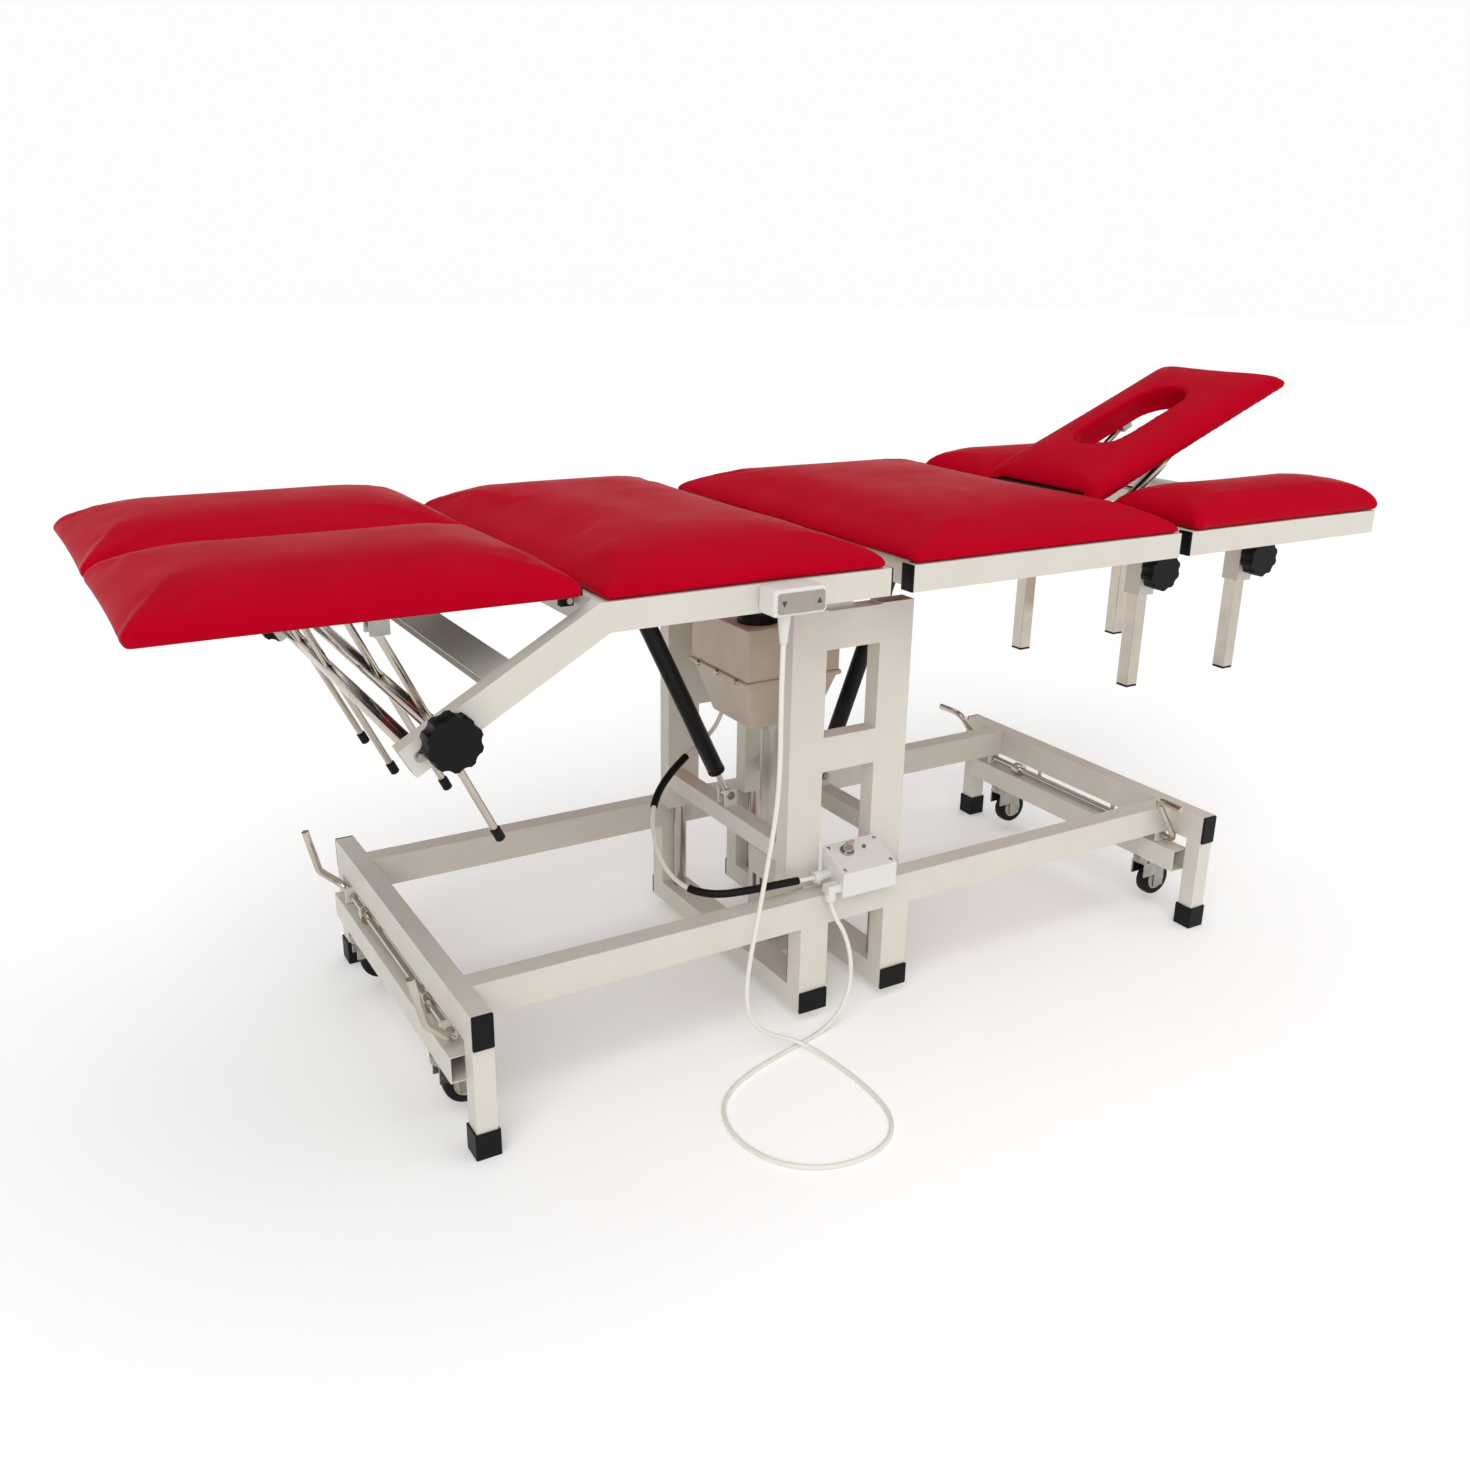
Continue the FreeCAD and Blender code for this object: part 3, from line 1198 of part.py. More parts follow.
def pedal_shaft(end):
    """The castor lift's shaft, bent up at both ends into pedals, with two cams."""
    shaft_x = size(f"{end}_beam_x") - size("shaft_back")
    shaft_z = size("beam_top") - size("beam_height") - size("shaft_drop")
    points = []
    for sign in (-1, 1):
        y = sign * size("pedal_y")
        corner = Vector(shaft_x, y, shaft_z)
        if end == "left":
            elbow = corner + Vector(-size("left_pedal_out"), 0, size("left_pedal_up"))
            tip = corner + Vector(-size("left_tip_out"), 0, size("left_tip_up"))
        else:
            elbow = corner + Vector(-size("right_pedal_in"), 0, size("right_pedal_up"))
            tip = corner + Vector(-size("right_tip_in"), sign * size("right_tip_side"),
                                  size("right_pedal_up"))
        points += [tip, elbow, corner] if sign < 0 else [corner, elbow, tip]
    bend = size("pedal_bend_radius")
    wire, _ = bent_path(points, lambda run, half: min(bend, ARC_SHARE * run / math.tan(half)))
    shaft = feature(f"{end}_bent_shaft", rod_along(f"{end} pedal shaft", wire, size("shaft_radius")))
    centre = (f"{end}_beam_x - shaft_back", f"{BEAM_LOW} - shaft_drop")
    cams = []
    for name, sign in SIDES:
        middle = "cam_y" if sign > 0 else "-cam_y"
        disc = cylinder(f"{end}_{name}_cam_disc", "y", "cam_radius", about(middle, "cam_width / 2"), centre)
        hole = cylinder(f"{end}_{name}_cam_hole", "y", "shaft_radius", about(middle, "cam_width"), centre)
        cams.append(cut(f"{end}_{name}_cam", disc, hole))
    node(f"{end}_pedal_shaft", [shaft] + cams)
    beam_z = ("castor_beam_low", "castor_beam_low + castor_beam_height")
    beam = tube(f"{end}_castor_tube", about(centre[0], "castor_beam_width / 2"),
                about("0", "castor_beam_half"),
                beam_z, "y")
    holes = [cylinder(f"{end}_{name}_guide_hole", "z", "beam_guide_radius + running_clear",
                      (f"{beam_z[0]} - overrun", f"{beam_z[1]} + overrun"),
                      (f"{centre[0]} + beam_guide_front", "beam_guide_y" if sign > 0 else "-beam_guide_y"))
             for name, sign in SIDES]
    node(f"{end}_castor_beam", [cut(f"{end}_guided_tube", beam, *holes)])


def castor_fork():
    """A fork hung under the castor beam's underside at the origin, trailing towards +X."""
    disc = cylinder("fork_disc", "z", "fork_disc_radius", ("-castor_gap - fork_disc_height", "-castor_gap"),
                    ("0", "0"))
    parts = [disc]
    bridge_z = ("-castor_gap - fork_disc_height - fork_thick", "-castor_gap - fork_disc_height")
    cheek_x = ("-fork_back", "castor_trail + fork_front")
    parts.append(box("fork_bridge", ("-fork_back", "fork_disc_radius / 2"),
                     about("0", "fork_inner + fork_thick"), bridge_z))
    for name, sign in SIDES:
        cheek_y = side(sign, "fork_inner", "fork_inner + fork_thick")
        cheek = box(f"fork_{name}_cheek", cheek_x, cheek_y, ("-castor_drop - fork_low", bridge_z[1]))
        notch = box(f"fork_{name}_notch", ("-fork_back - overrun", "castor_trail - fork_front"),
                    (f"{cheek_y[0]} - overrun", f"{cheek_y[1]} + overrun"),
                    ("-castor_drop - fork_low - overrun", "-castor_drop + fork_low"))
        parts.append(cut(f"fork_{name}_side", cheek, notch))
    parts.append(cylinder("fork_axle", "y", "axle_radius", about("0", "fork_inner + fork_thick"),
                          ("castor_trail", "-castor_drop")))
    return fuse("fork_shape", *parts)


def castors():
    fork = castor_fork()
    axis = ("0", "0")
    tread = cylinder("tyre_blank", "y", "wheel_radius", about("0", "wheel_width / 2"), axis)
    seat = cylinder("tyre_seat", "y", "hub_radius", about("0", "wheel_width"), axis)
    hub = cylinder("hub_blank", "y", "hub_radius", about("0", "hub_width / 2"), axis)
    bore = cylinder("hub_bore", "y", "axle_radius + running_clear", about("0", "hub_width"), axis)
    wheel = [cut("tyre_shape", tread, seat), cut("hub_shape", hub, bore)]
    for end, beam_x in ENDS:
        for name, sign in SIDES:
            x = f"{beam_x} - shaft_back"
            y = "castor_y" if sign > 0 else "-castor_y"
            node(f"castor_fork_{end}_{name}", [fork], (x, y, "castor_beam_low"))
            node(f"castor_wheel_{end}_{name}", wheel,
                 (f"{x} + castor_trail", y, "castor_beam_low - castor_drop"))


# Control box on the near rail
def lid_wedge(name, shrink, low):
    wedge = doc.addObject("Part::Wedge", name)
    bind(wedge, "Xmin", f"control_left + {shrink}")
    bind(wedge, "Xmax", f"control_right - {shrink}")
    bind(wedge, "X2min", f"control_left + {shrink}")
    bind(wedge, "X2max", f"control_right - {shrink}")
    bind(wedge, "Ymin", f"control_front + {shrink}")
    bind(wedge, "Ymax", f"control_back - {shrink}")
    bind(wedge, "Zmin", low)
    bind(wedge, "Z2min", low)
    bind(wedge, "Zmax", f"beam_top + control_front_height - {shrink}")
    bind(wedge, "Z2max", f"beam_top + control_back_height - {shrink}")
    return wedge


LID_RISE = "(control_back_height - control_front_height)"
LID_RUN = "(control_back - control_front)"
LID_TILT = f"atan2({LID_RISE}; {LID_RUN})"


def lid_height(y):
    return f"(beam_top + control_front_height + ({y} - control_front) * {LID_RISE} / {LID_RUN})"


def control_box():
    shell = cut("control_shell", lid_wedge("control_outside", "0", "beam_top"),
                lid_wedge("control_inside", "control_wall", "beam_top - overrun"))
    block = box("gland_block", ("control_left - gland_block", "control_left"),
                about("hand_gland_y", "gland_radius"),
                ("hand_gland_low + gland_length / 2", "hand_gland_low + gland_length"))
    spout = cylinder("hand_gland_spout", "z", "gland_radius",
                     ("hand_gland_low", "hand_gland_low + gland_length"),
                     ("hand_gland_x", "hand_gland_y"))
    hand_gland = fuse("hand_gland", block, spout)
    motor_gland = cylinder("motor_gland", "x", "gland_radius",
                           ("control_left - gland_length", "control_left"),
                           ("motor_gland_y", "motor_gland_z"))
    lamp = cylinder("status_lamp", "z", "lamp_radius", ("0", "lamp_height"), ("0", "0"))
    place(lamp, ("lamp_x", "key_y", lid_height("key_y")), Vector(1, 0, 0), LID_TILT)
    node("control_box", [shell, hand_gland, motor_gland, lamp])
    barrel = cylinder("key_barrel", "z", "key_radius", ("knob_gap", "key_height"), ("0", "0"))
    bow = box("key_bow", about("0", "key_bow_width / 2"), about("0", "key_bow_thick / 2"),
              ("key_height", "key_height + key_bow_height"))
    node("key_switch", [fuse("key_and_barrel", barrel, bow)], ("key_x", "key_y", lid_height("key_y")),
         Vector(1, 0, 0), LID_TILT)


# Hand control on the seat's near rail
def hand_control():
    face = "-top_rail_outer - hand_thick"
    blank = box("hand_case_block", ("hand_left", "hand_right"), (face, "-top_rail_outer"),
                ("hand_low", "hand_high"))
    doc.recompute()
    rounded = doc.addObject("Part::Fillet", "hand_case_round")
    rounded.Base = blank
    curve = size("hand_round")
    rounded.Edges = [(number, curve, curve) for number in range(1, len(blank.Shape.Edges) + 1)]
    middle_x = "(hand_left + hand_right) / 2"
    middle_z = "(hand_low + hand_high) / 2"
    wells = []
    for name, sign in (("down", -1), ("up", 1)):
        centre = f"{middle_x} + {sign} * button_spread"
        wells.append(box(f"{name}_well", about(centre, "button_width / 2 + button_clear"),
                         (f"{face} - overrun", f"{face} + button_deep"),
                         about(middle_z, "button_height / 2 + button_clear")))
        cap = box(f"{name}_cap", about(centre, "button_width / 2"),
                  (f"{face} - button_proud", f"{face} + button_deep - button_proud"),
                  about(middle_z, "button_height / 2"))
        node(f"{name}_button", [cap])
    relief = doc.addObject("Part::Cone", "relief_cone")
    bind(relief, "Radius1", "relief_low_radius")
    bind(relief, "Radius2", "relief_top_radius")
    bind(relief, "Height", "relief_length")
    place(relief, ("relief_x", "-top_rail_outer - hand_thick / 2", "hand_low - relief_length"))
    node("hand_control", [cut("hand_case", rounded, *wells), relief])


# Cord routes, chosen by hand: the hand control's cord down to a loop on the floor and up to its gland,
# and the motor's cord from the control box to the motor box
HAND_CORD = (
    (-228, -363.5, 663.6), (-228, -362, 620), (-223, -355, 562), (-215, -344, 504), (-207, -330, 446),
    (-203, -316, 388), (-203, -303, 330), (-207, -295, 272), (-214, -290, 214), (-222, -287, 158),
    (-225, -285, 104), (-214, -284, 58), (-184, -286, 30), (-148, -296, 17), (-128, -318, 8),
    (-118, -352, 4), (-113, -400, 4), (-112, -450, 4), (-118, -500, 4), (-140, -540, 4),
    (-180, -565, 4), (-230, -570, 4), (-280, -555, 4), (-318, -520, 4), (-336, -470, 4),
    (-335, -420, 4), (-316, -375, 4), (-280, -343, 4), (-232, -322, 4), (-182, -308, 4),
    (-132, -296, 4), (-84, -284, 5), (-46, -276, 22), (-24, -271, 62), (-24, -268, 112),
    (-36, -264, 156), (-54, -258, 186), (-60, -256, 212))
MOTOR_CORD = (
    (-71, -228, 240), (-120, -226, 242), (-180, -220, 241), (-232, -204, 238), (-260, -166, 239),
    (-268, -120, 250), (-267, -80, 276), (-256, -46, 307), (-232, -16, 332), (-196, 8, 352),
    (-156, 26, 370), (-116, 38, 388), (-88, 44, 406), (-78, 46, 428))


def free_cord(label, route):
    points = [Vector(*point) for point in route]
    wire, radii = bent_path(points, lambda run, half: ARC_SHARE * run / math.tan(half))
    print(f"{label}: length {wire.Length:.0f} mm, arc radii " + " ".join(f"{radius:.0f}" for radius in radii))
    node(label, [feature(label + "_tube", rod_along(label, wire, size("cord_radius")))])


base_frame()
shoes_and_plugs()
guide_rods()
actuator_post()
tower_frame()
guide_bushes()
motor_box()
actuator_tube()
seat_frame()
back_frame()
cushions()
head_section()
head_strut()
armrest_posts()
for hand_name, hand_sign in SIDES:
    armrest_frame(hand_name, hand_sign)
    leg_board(hand_name, hand_sign)
    leg_struts(hand_name, hand_sign)
clamp_knobs()
gas_spring("seat", -1)
gas_spring("back", 1)
release_levers()
for end_name, end_x in ENDS:
    pedal_shaft(end_name)
castors()
control_box()
hand_control()
free_cord("hand_cord", HAND_CORD)
free_cord("motor_cord", MOTOR_CORD)
doc.recompute()

for thing in doc.Objects:
    if "Invalid" in thing.State or "Error" in thing.State:
        raise RuntimeError(f"{thing.Label} failed: {thing.State}")
for group in NODES:
    if group.Shape.isNull() or not group.Shape.isValid():
        raise RuntimeError(f"{group.Label} has no valid shape")

os.makedirs("parts", exist_ok=True)
for group in NODES:
    group.Shape.exportStep(f"parts/{group.Label}.step")
print(len(NODES), "sub-parts written")
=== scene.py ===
# %% [markdown]
# # Electric treatment table
# The table is a welded steel frame on four shoes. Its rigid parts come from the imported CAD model, which is
# loaded as a fixed frame. This lesson adds what CAD leaves out: padded covers, cords, wheels, small
# fittings and the finish of every surface.

# %% Load the frame
import math

import bmesh
import bpy
from mathutils import Matrix, Vector


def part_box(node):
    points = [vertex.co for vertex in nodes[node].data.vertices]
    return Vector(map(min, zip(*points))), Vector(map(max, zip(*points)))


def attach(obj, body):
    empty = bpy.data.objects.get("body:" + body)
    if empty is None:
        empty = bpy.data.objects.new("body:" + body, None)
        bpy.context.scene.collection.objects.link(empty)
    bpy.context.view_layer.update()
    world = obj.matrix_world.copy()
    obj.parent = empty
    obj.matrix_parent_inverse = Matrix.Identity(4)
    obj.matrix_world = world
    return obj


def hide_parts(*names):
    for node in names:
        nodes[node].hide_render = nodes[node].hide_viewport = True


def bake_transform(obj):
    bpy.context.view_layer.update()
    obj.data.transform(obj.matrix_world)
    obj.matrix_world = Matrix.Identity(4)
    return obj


MM = 0.001
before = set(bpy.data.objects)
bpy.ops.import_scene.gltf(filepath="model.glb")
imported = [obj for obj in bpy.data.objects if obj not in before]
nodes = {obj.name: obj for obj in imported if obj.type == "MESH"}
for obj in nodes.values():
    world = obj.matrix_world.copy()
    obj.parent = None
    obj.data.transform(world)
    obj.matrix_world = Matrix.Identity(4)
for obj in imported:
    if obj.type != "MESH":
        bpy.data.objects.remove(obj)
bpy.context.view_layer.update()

# %% [markdown]
# The camera could be placed by eye. Here its place and angles were worked out from the known length of the
# frame's tubes, so the render lies over the photograph. The lens follows from the focal length in pixels.

# %% Camera
PHOTO_LONG_SIDE = 1471
FOCAL_PIXELS = 1334.5
SENSOR = 36.0
CAMERA_PLACE = Vector((-1.1331, -1.7495, 1.1208))
YAW = math.radians(31.06)
PITCH = math.radians(19.42)
ROLL = math.radians(0.96)

forward = Vector((math.sin(YAW) * math.cos(PITCH), math.cos(YAW) * math.cos(PITCH), -math.sin(PITCH)))
level_right = Vector((math.cos(YAW), -math.sin(YAW), 0))
level_up = level_right.cross(forward)
right = math.cos(ROLL) * level_right + math.sin(ROLL) * level_up
up = -math.sin(ROLL) * level_right + math.cos(ROLL) * level_up
camera = bpy.data.objects.new("camera", bpy.data.cameras.new("camera"))
bpy.context.scene.collection.objects.link(camera)
camera.data.sensor_width = SENSOR
camera.data.lens = SENSOR * FOCAL_PIXELS / PHOTO_LONG_SIDE
turn = Matrix((right, up, -forward)).transposed().to_4x4()
camera.matrix_world = Matrix.Translation(CAMERA_PLACE) @ turn
bpy.context.scene.camera = camera
print("camera: lens", round(camera.data.lens, 2), "mm")

# %% [markdown]
# Each finish is a node material. One function turns sRGB hex colours to linear values, and one small
# function adds a node with its settings and links. Pattern scales are worked out from sizes in millimetres.

# %% Colour and node helpers


def linear(code):
    """A linear colour from an sRGB hex code."""
    channels = [int(code[place:place + 2], 16) / 255 for place in (0, 2, 4)]
    return [c / 12.92 if c <= 0.04045 else ((c + 0.055) / 1.055) ** 2.4 for c in channels] + [1.0]


def add_node(material, kind, settings, inputs):
    """Adds a node, sets its properties, and sets or links its inputs."""
    tree = material.node_tree
    node = tree.nodes.new(kind)
    for name, value in settings.items():
        setattr(node, name, value)
    for name, value in inputs.items():
        if isinstance(value, bpy.types.NodeSocket):
            tree.links.new(value, node.inputs[name])
        else:
            node.inputs[name].default_value = value
    return node


def per_mm(size):
    """The texture scale that gives a pattern this many millimetres across."""
    return 1 / (size * MM)


def finish(name, code, shade, roughness, spread, patch, grit, depth, **sockets):
    """A surface with a slow change of tone, uneven gloss and a fine relief.

    code and shade are the two tones, patch and grit the sizes in mm of the slow and the fine pattern,
    spread how much the roughness varies, and depth the height of the relief in mm."""
    material = bpy.data.materials.new(name)
    material.use_nodes = True
    shader = material.node_tree.nodes["Principled BSDF"]
    place = add_node(material, "ShaderNodeTexCoord", {}, {}).outputs["Object"]
    slow = add_node(material, "ShaderNodeTexNoise", {},
                    {"Vector": place, "Scale": per_mm(patch), "Detail": 3.0})
    fine = add_node(material, "ShaderNodeTexNoise", {},
                    {"Vector": place, "Scale": per_mm(grit), "Detail": 2.0})
    tone = add_node(material, "ShaderNodeMix", {"data_type": "RGBA"}, {})
    links = material.node_tree.links
    links.new(slow.outputs["Fac"], tone.inputs[0])
    tone.inputs[6].default_value = linear(code)
    tone.inputs[7].default_value = linear(shade)
    gloss = add_node(material, "ShaderNodeMapRange", {},
                     {"Value": slow.outputs["Fac"], "From Min": 0.3, "From Max": 0.7,
                      "To Min": roughness - spread, "To Max": roughness + spread})
    relief = add_node(material, "ShaderNodeBump", {},
                      {"Height": fine.outputs["Fac"], "Distance": depth * MM, "Strength": 0.6})
    links.new(tone.outputs[2], shader.inputs["Base Color"])
    links.new(gloss.outputs["Result"], shader.inputs["Roughness"])
    links.new(relief.outputs["Normal"], shader.inputs["Normal"])
    for socket, value in sockets.items():
        shader.inputs[socket.replace("_", " ")].default_value = value
    return material


print("helpers ready")

# %% [markdown]
# The frame is powder-coated steel: an off-white skin with a soft gloss and a faint orange-peel relief.
# Plastics are moulded, so they are smoother and more even. Bare steel reflects its surroundings, and its
# polish is a little uneven. Black surfaces get a low specular level, because the white surround would
# otherwise turn them grey.

# %% Paint, plastic and metal finishes
LOW_GLOSS = 0.15
powder_coat = finish("white_powder_coat", "d5d0c6", "cdc7bc", 0.4, 0.05, 60, 1.6, 0.05)
moulded_black = finish("moulded_black_plastic", "0b0b0d", "111113", 0.46, 0.06, 25, 0.9, 0.05,
                       Specular_IOR_Level=LOW_GLOSS)
moulded_grey = finish("moulded_grey_abs", "c8baa9", "bdae9c", 0.45, 0.05, 40, 1.0, 0.04)
moulded_white = finish("moulded_white_abs", "dddbd6", "d4d2cc", 0.38, 0.05, 40, 1.0, 0.03)
polished_steel = finish("polished_stainless_steel", "cdc3b8", "b5aa9e", 0.16, 0.06, 30, 0.5, 0.01,
                        Metallic=1.0)
zinc_steel = finish("zinc_plated_steel", "b2b0ab", "94928d", 0.28, 0.08, 18, 0.6, 0.02, Metallic=1.0)
drawn_tube = finish("drawn_aluminium_tube", "cfcbc2", "c2beb5", 0.36, 0.06, 30, 0.5, 0.02, Metallic=0.8)
black_enamel = finish("black_enamel", "09090a", "0f0f10", 0.3, 0.05, 40, 0.8, 0.02, Specular_IOR_Level=0.2)
tread_rubber = finish("moulded_tread_rubber", "101012", "18181a", 0.6, 0.06, 15, 0.7, 0.05,
                      Specular_IOR_Level=LOW_GLOSS)
painted_board = finish("painted_plywood_board", "1c1b1a", "252320", 0.62, 0.06, 45, 1.4, 0.12,
                       Specular_IOR_Level=LOW_GLOSS)
cord_jacket = finish("white_pvc_jacket", "e6e2d9", "dcd7cc", 0.42, 0.05, 20, 0.8, 0.03)
black_sleeve = finish("black_rubber_sleeve", "0d0d0f", "141416", 0.55, 0.05, 15, 0.6, 0.04,
                      Specular_IOR_Level=LOW_GLOSS)
panel_film = finish("grey_film_panel", "a49a90", "978d83", 0.5, 0.05, 20, 0.7, 0.02)
dark_mark = finish("printed_dark_mark", "3a3634", "423d3b", 0.6, 0.04, 10, 0.6, 0.01)
lamp_lens = finish("clear_green_lens", "3f7a3c", "356b33", 0.2, 0.04, 8, 0.5, 0.01)
print("finishes:", len(bpy.data.materials))

# %% [markdown]
# The covers are artificial leather: a coloured vinyl skin, embossed with a pebble grain about 1.5 mm across
# and stretched over foam. The emboss is drawn from cells. The skin is matt, so its gloss is kept low.

# %% Red artificial leather
GRAIN = 1.5
GRAIN_DEPTH = 0.12
red_leather = finish("red_artificial_leather", "b4001f", "a8001b", 0.42, 0.05, 90, 0.9, 0.02,
                     Specular_IOR_Level=0.02)
skin = red_leather.node_tree.nodes["Principled BSDF"]
smooth_relief = skin.inputs["Normal"].links[0].from_node
object_place = add_node(red_leather, "ShaderNodeTexCoord", {}, {}).outputs["Object"]
pebbles = add_node(red_leather, "ShaderNodeTexVoronoi", {"feature": "SMOOTH_F1"},
                   {"Vector": object_place, "Scale": per_mm(GRAIN), "Smoothness": 0.4})
emboss = add_node(red_leather, "ShaderNodeBump", {"invert": True},
                  {"Height": pebbles.outputs["Distance"], "Distance": GRAIN_DEPTH * MM, "Strength": 0.5,
                   "Normal": smooth_relief.outputs["Normal"]})
red_leather.node_tree.links.new(emboss.outputs["Normal"], skin.inputs["Normal"])
print("leather grain", GRAIN, "mm")

# %% [markdown]
# The rigid nodes keep their CAD shape. Real tubes and mouldings have rounded edges that catch the light, so
# a Weld and a Bevel modifier soften each node without touching its mesh.

# %% Dress the rigid nodes
SIDES = {"near": -1, "far": 1}
ENDS = ("left", "right")
POSTS = ("first", "second")
WHITE_TUBES = ["base_frame", "tower_frame", "seat_frame", "back_frame", "actuator_post", "left_castor_beam",
               "right_castor_beam", "armrest_frame_near", "armrest_frame_far"]
BLACK_MOULDINGS = ["shoes_and_plugs", "guide_bushes", "leg_knob_near", "leg_knob_far", "seat_release_lever",
                   "back_release_lever"] + [f"arm_knob_{side}_{post}" for side in SIDES for post in POSTS]
STEEL_RODS = ["guide_rods", "armrest_posts", "leg_struts_near", "leg_struts_far", "seat_spring_rod",
              "back_spring_rod", "head_strut_rod", "head_strut_tube", "left_pedal_shaft",
              "right_pedal_shaft", "key_switch", "strut_tube_near", "strut_tube_far"]
ZINC_PIECES = [f"castor_fork_{end}_{side}" for end in ENDS for side in SIDES]
DRESSING = (
    (WHITE_TUBES, powder_coat, 1.6),
    (BLACK_MOULDINGS, moulded_black, 1.5),
    (STEEL_RODS, polished_steel, 0.8),
    (ZINC_PIECES, zinc_steel, 0.8),
    (["motor_box"], moulded_grey, 6.0),
    (["control_box", "hand_control"], moulded_white, 2.0),
    (["actuator_tube"], drawn_tube, 1.5),
    (["seat_spring_barrel", "back_spring_barrel"], black_enamel, 1.5),
    (["head_board", "leg_board_near", "leg_board_far"], painted_board, 1.0),
    (["up_button", "down_button"], panel_film, 0.6))


def soften(obj, width):
    """Rounds a rigid piece's edges by this many millimetres."""
    weld = obj.modifiers.new("weld", "WELD")
    weld.merge_threshold = 0.01 * MM
    bevel = obj.modifiers.new("bevel", "BEVEL")
    bevel.width = width * MM
    bevel.segments = 2
    bevel.limit_method = "ANGLE"
    bevel.angle_limit = math.radians(40)


for names, material, edge in DRESSING:
    for name in names:
        nodes[name].data.materials.clear()
        nodes[name].data.materials.append(material)
        soften(nodes[name], edge)
print("dressed", sum(len(names) for names, _, _ in DRESSING), "rigid nodes")

# %% [markdown]
# A cord is a fixed length of something flexible. Its route is a list of given points, used as the control
# points of one smooth spline. The tubes follow points read back from that spline. The hand control's cord is
# cut in two where it hangs free, because it crosses two joints.

# %% Cord helpers
CORD_DIAMETER = 7 * MM


def spline_points(name, route):
    """The smooth line through a route, read from a NURBS spline with the route as control points."""
    curve = bpy.data.curves.new(name, "CURVE")
    curve.dimensions = "3D"
    curve.resolution_u = 6
    spline = curve.splines.new("NURBS")
    spline.points.add(len(route) - 1)
    for point, place in zip(spline.points, route):
        point.co = (*[MM * value for value in place], 1.0)
    spline.order_u = 3
    spline.use_endpoint_u = True
    holder = bpy.data.objects.new(name, curve)
    line = bpy.data.meshes.new_from_object(holder)
    points = [vertex.co.copy() for vertex in line.vertices]
    bpy.data.objects.remove(holder)
    bpy.data.meshes.remove(line)
    return points


def tube_mesh(name, points, diameter, material):
    """A round tube with closed ends along these points."""
    curve = bpy.data.curves.new(name, "CURVE")
    curve.dimensions = "3D"
    curve.bevel_depth = diameter / 2
    curve.bevel_resolution = 4
    curve.use_fill_caps = True
    spline = curve.splines.new("POLY")
    spline.points.add(len(points) - 1)
    for point, place in zip(spline.points, points):
        point.co = (*place, 1.0)
    holder = bpy.data.objects.new(name + "_line", curve)
    mesh = bpy.data.meshes.new_from_object(holder)
    bpy.data.objects.remove(holder)
    mesh.materials.clear()
    mesh.materials.append(material)
    for polygon in mesh.polygons:
        polygon.use_smooth = True
    obj = bpy.data.objects.new(name, mesh)
    bpy.context.scene.collection.objects.link(obj)
    return obj


def run_length(points):
    return sum((after - before).length for before, after in zip(points, points[1:]))


print("cord diameter", CORD_DIAMETER)

# %% The hand control's cord
HAND_ROUTE = (
    (-228, -363.5, 663.6), (-228, -362, 620), (-223, -355, 562), (-215, -344, 504), (-207, -330, 446),
    (-203, -316, 388), (-203, -303, 330), (-207, -295, 272), (-214, -290, 214), (-222, -287, 158),
    (-225, -285, 104), (-214, -284, 58), (-184, -286, 30), (-148, -296, 17), (-128, -318, 8),
    (-118, -352, 4), (-113, -400, 4), (-112, -450, 4), (-118, -500, 4), (-140, -540, 4),
    (-180, -565, 4), (-230, -570, 4), (-280, -555, 4), (-318, -520, 4), (-336, -470, 4),
    (-335, -420, 4), (-316, -375, 4), (-280, -343, 4), (-232, -322, 4), (-182, -308, 4),
    (-132, -296, 4), (-84, -284, 5), (-46, -276, 22), (-24, -271, 62), (-24, -268, 112),
    (-36, -264, 156), (-54, -258, 186), (-60, -256, 212))
SPLIT_HEIGHT = 0.45
hand_line = spline_points("hand_line", HAND_ROUTE)
split = next(number for number, point in enumerate(hand_line) if point.z < SPLIT_HEIGHT)
hanging_line = hand_line[:split + 1]
lying_line = hand_line[split:]
hanging_cord = tube_mesh("hand_cord_hanging", hanging_line, CORD_DIAMETER, cord_jacket)
lying_cord = tube_mesh("hand_cord_lying", lying_line, CORD_DIAMETER, cord_jacket)
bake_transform(hanging_cord)
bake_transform(lying_cord)
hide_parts("hand_cord")
print("hand cord", round(run_length(hand_line), 3), "m, split at point", split)

# %% The motor's cord and its sleeves
MOTOR_ROUTE = (
    (-71, -228, 240), (-120, -226, 242), (-180, -220, 241), (-232, -204, 238), (-260, -166, 239),
    (-268, -120, 250), (-267, -80, 276), (-256, -46, 307), (-232, -16, 332), (-196, 8, 352),
    (-156, 26, 370), (-116, 38, 388), (-88, 44, 406), (-78, 46, 428))
SLEEVE_DIAMETER = 12 * MM
SLEEVES = {"motor_cord_gland_sleeve": (0.03, 0.3), "motor_cord_tower_sleeve": (0.58, 0.8)}
motor_line = spline_points("motor_line", MOTOR_ROUTE)
motor_cord = tube_mesh("motor_cord_run", motor_line, CORD_DIAMETER, cord_jacket)
sleeves = []
for name, (first, last) in SLEEVES.items():
    count = len(motor_line)
    stretch = motor_line[round(first * count):round(last * count)]
    sleeves.append(tube_mesh(name, stretch, SLEEVE_DIAMETER, black_sleeve))
for obj in (motor_cord, *sleeves):
    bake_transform(obj)
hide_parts("motor_cord")
print("motor cord", round(run_length(motor_line), 3), "m")

